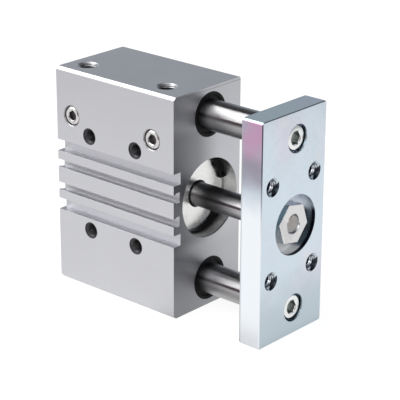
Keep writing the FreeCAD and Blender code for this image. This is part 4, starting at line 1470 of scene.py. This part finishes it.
@dataclass
class Viewpoint:
    """The camera: a long lens from the front left, a little above."""

    azimuth: float = 41.41
    elevation: float = 21.12
    roll: float = 0.276
    distance: float = 1.0720
    angle: float = 13.6375
    aim_right: float = -4.60 * MM
    aim_up: float = -0.56 * MM
    aim_drop: float = 0.5 * MM
    sensor: float = 36.0
    nearest: float = 0.05
    furthest: float = 50.0

    def build(self) -> None:
        """Set up the camera."""
        low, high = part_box("housing")
        target = Vector((high.x, 0.0, (low.z + high.z) / 2.0 - self.aim_drop))
        a, e = math.radians(self.azimuth), math.radians(self.elevation)
        back = Vector((math.sin(a) * math.cos(e), -math.cos(a) * math.cos(e), math.sin(e)))
        right = Vector((math.cos(a), math.sin(a), 0.0))
        up = back.cross(right)
        tilt = math.radians(self.roll)
        turned_right = math.cos(tilt) * right + math.sin(tilt) * up
        turned_up = -math.sin(tilt) * right + math.cos(tilt) * up
        data = bpy.data.cameras.new("camera")
        data.sensor_width = self.sensor
        data.lens = self.sensor / 2.0 / math.tan(math.radians(self.angle) / 2.0)
        data.clip_start = self.nearest
        data.clip_end = self.furthest
        camera = add_object("camera", data)
        place = target + turned_right * self.aim_right + turned_up * self.aim_up + back * self.distance
        axes = Matrix((turned_right, turned_up, back)).transposed().to_4x4()
        camera.matrix_world = Matrix.Translation(place) @ axes
        bpy.context.scene.camera = camera
        LOG.info("camera at %s", tuple(round(part, 4) for part in place))


@dataclass(frozen=True)
class Lamp:
    """A square soft box: where it stands, its side, its power in watts, and what it faces."""

    name: str
    place: Triple
    side: float
    power: float
    aim: Triple = (0.03, 0.0, 0.07)

    def build(self) -> None:
        """Set up the lamp."""
        data = bpy.data.lights.new(self.name, "AREA")
        data.size = self.side
        data.energy = self.power
        lamp = add_object(self.name, data)
        lamp.location = self.place
        lamp.rotation_mode = "QUATERNION"
        lamp.rotation_quaternion = (Vector(self.place) - Vector(self.aim)).to_track_quat("Z", "Y")


@dataclass
class Studio:
    """White floor, soft surroundings and lamps."""

    reach: float = 6.0
    floor_gap: float = 0.2 * MM
    floor_tone: float = 0.22
    floor_shown: float = 0.90
    floor_mirrored: float = 0.82
    front: Triple = (0.80, 0.80, 0.80)
    behind: Triple = (0.62, 0.67, 0.72)
    overhead: Triple = (0.08, 0.08, 0.085)
    horizon: Triple = (0.15, 0.09, 0.115)
    lamps: tuple[Lamp, ...] = (
        Lamp("key", (-0.82, -0.61, 1.00), 1.4, 16.0),
        Lamp("fill", (1.3, -1.0, 0.8), 0.7, 4.5),
    )

    def build(self) -> None:
        """Set up floor, world and lamps."""
        self.make_floor()
        self.make_world()
        for lamp in self.lamps:
            lamp.build()
        bpy.context.scene.view_settings.view_transform = "Standard"

    def make_floor(self) -> None:
        """A large pale floor just under the housing, mirrored darker far off, with painted shade in its
        mirrored glow behind and below the model.
        """
        mesh = bmesh.new()
        bmesh.ops.create_grid(mesh, x_segments=1, y_segments=1, size=self.reach)
        data = bpy.data.meshes.new("floor")
        mesh.to_mesh(data)
        mesh.free()
        floor = add_object("floor", data)
        floor.location.z = CAD_BOX[0].z - self.floor_gap
        tone = (self.floor_tone, self.floor_tone, self.floor_tone)
        fixed = {"Base_Color": tone, "Specular_IOR_Level": 0.0, "Emission_Color": WHITE}
        material, wires, shader = start_material("pale_floor", Roughness=0.9, **fixed)
        path = wires.node("LightPath").outputs
        mirrored = wires.math("MAXIMUM", path["Is Glossy Ray"], path["Is Transmission Ray"])
        place = wires.node("TexCoord").outputs["Object"]
        parts = wires.node("SeparateXYZ", {0: place}).outputs
        # Painted shade in the floor's mirrored glow, behind the housing and under the carriage.
        behind = wires.times(wires.between(parts["Y"], 0.0, 0.06), wires.about(parts["X"], -0.03, 0.05, 0.10))
        ahead = wires.about(parts["X"], 0.08, 0.03, 0.055)
        below = wires.times(ahead, wires.about(parts["Y"], 0.0, 0.035, 0.065))
        shade = wires.math("MAXIMUM", behind, wires.times(below, 0.3))
        near = wires.between(wires.vector("LENGTH", place), 0.95, 0.45, 0.28, 1.0)
        lit = wires.times(near, wires.math("SUBTRACT", 1.0, shade))
        glow = wires.times(wires.times(mirrored, lit), self.floor_mirrored)
        shown = wires.times(path["Is Camera Ray"], self.floor_shown)
        wires.feed(shader, "Emission Strength", wires.math("ADD", glow, shown))
        data.materials.append(material)

    def make_world(self) -> None:
        """Bright surroundings in front, darker behind, white where the camera looks past the floor."""
        world = bpy.data.worlds.new("studio")
        world.use_nodes = True
        world.node_tree.nodes.clear()
        wires = Wiring(world.node_tree)
        parts = wires.node("SeparateXYZ", {0: wires.node("TexCoord").outputs["Generated"]}).outputs
        rear = wires.mix(wires.between(parts["Z"], 0.30, 0.56), self.behind, self.overhead)
        around = wires.mix(wires.between(parts["Y"], -0.20, 0.20), self.front, rear)
        skyline = wires.times(wires.between(parts["Z"], 0.32, 0.22), wires.between(parts["Y"], 0.1, -0.1))
        gap = wires.math("MAXIMUM", skyline, wires.between(parts["Z"], -0.002, -0.008))
        toned = wires.mix(gap, around, self.horizon)
        shown = wires.mix(wires.node("LightPath").outputs["Is Camera Ray"], toned, WHITE)
        background = wires.node("Background", {"Color": shown, "Strength": 1.0})
        wires.node("OutputWorld", {"Surface": background.outputs[0]})
        bpy.context.scene.world = world


def main() -> None:
    logging.basicConfig(level=logging.INFO, format="%(message)s")
    set_up = (Viewpoint(), Studio())
    fixed = (Housing(), CylinderEnd(), RetainingRings(), Guides(), Plugs())
    moving = (ToolPlate(), RodNut(), PlateScrews(), PistonGroup())
    for part in (*set_up, *fixed, *moving):
        part.build()
        LOG.info("%s done", type(part).__name__)


if __name__ == "__main__":
    main()
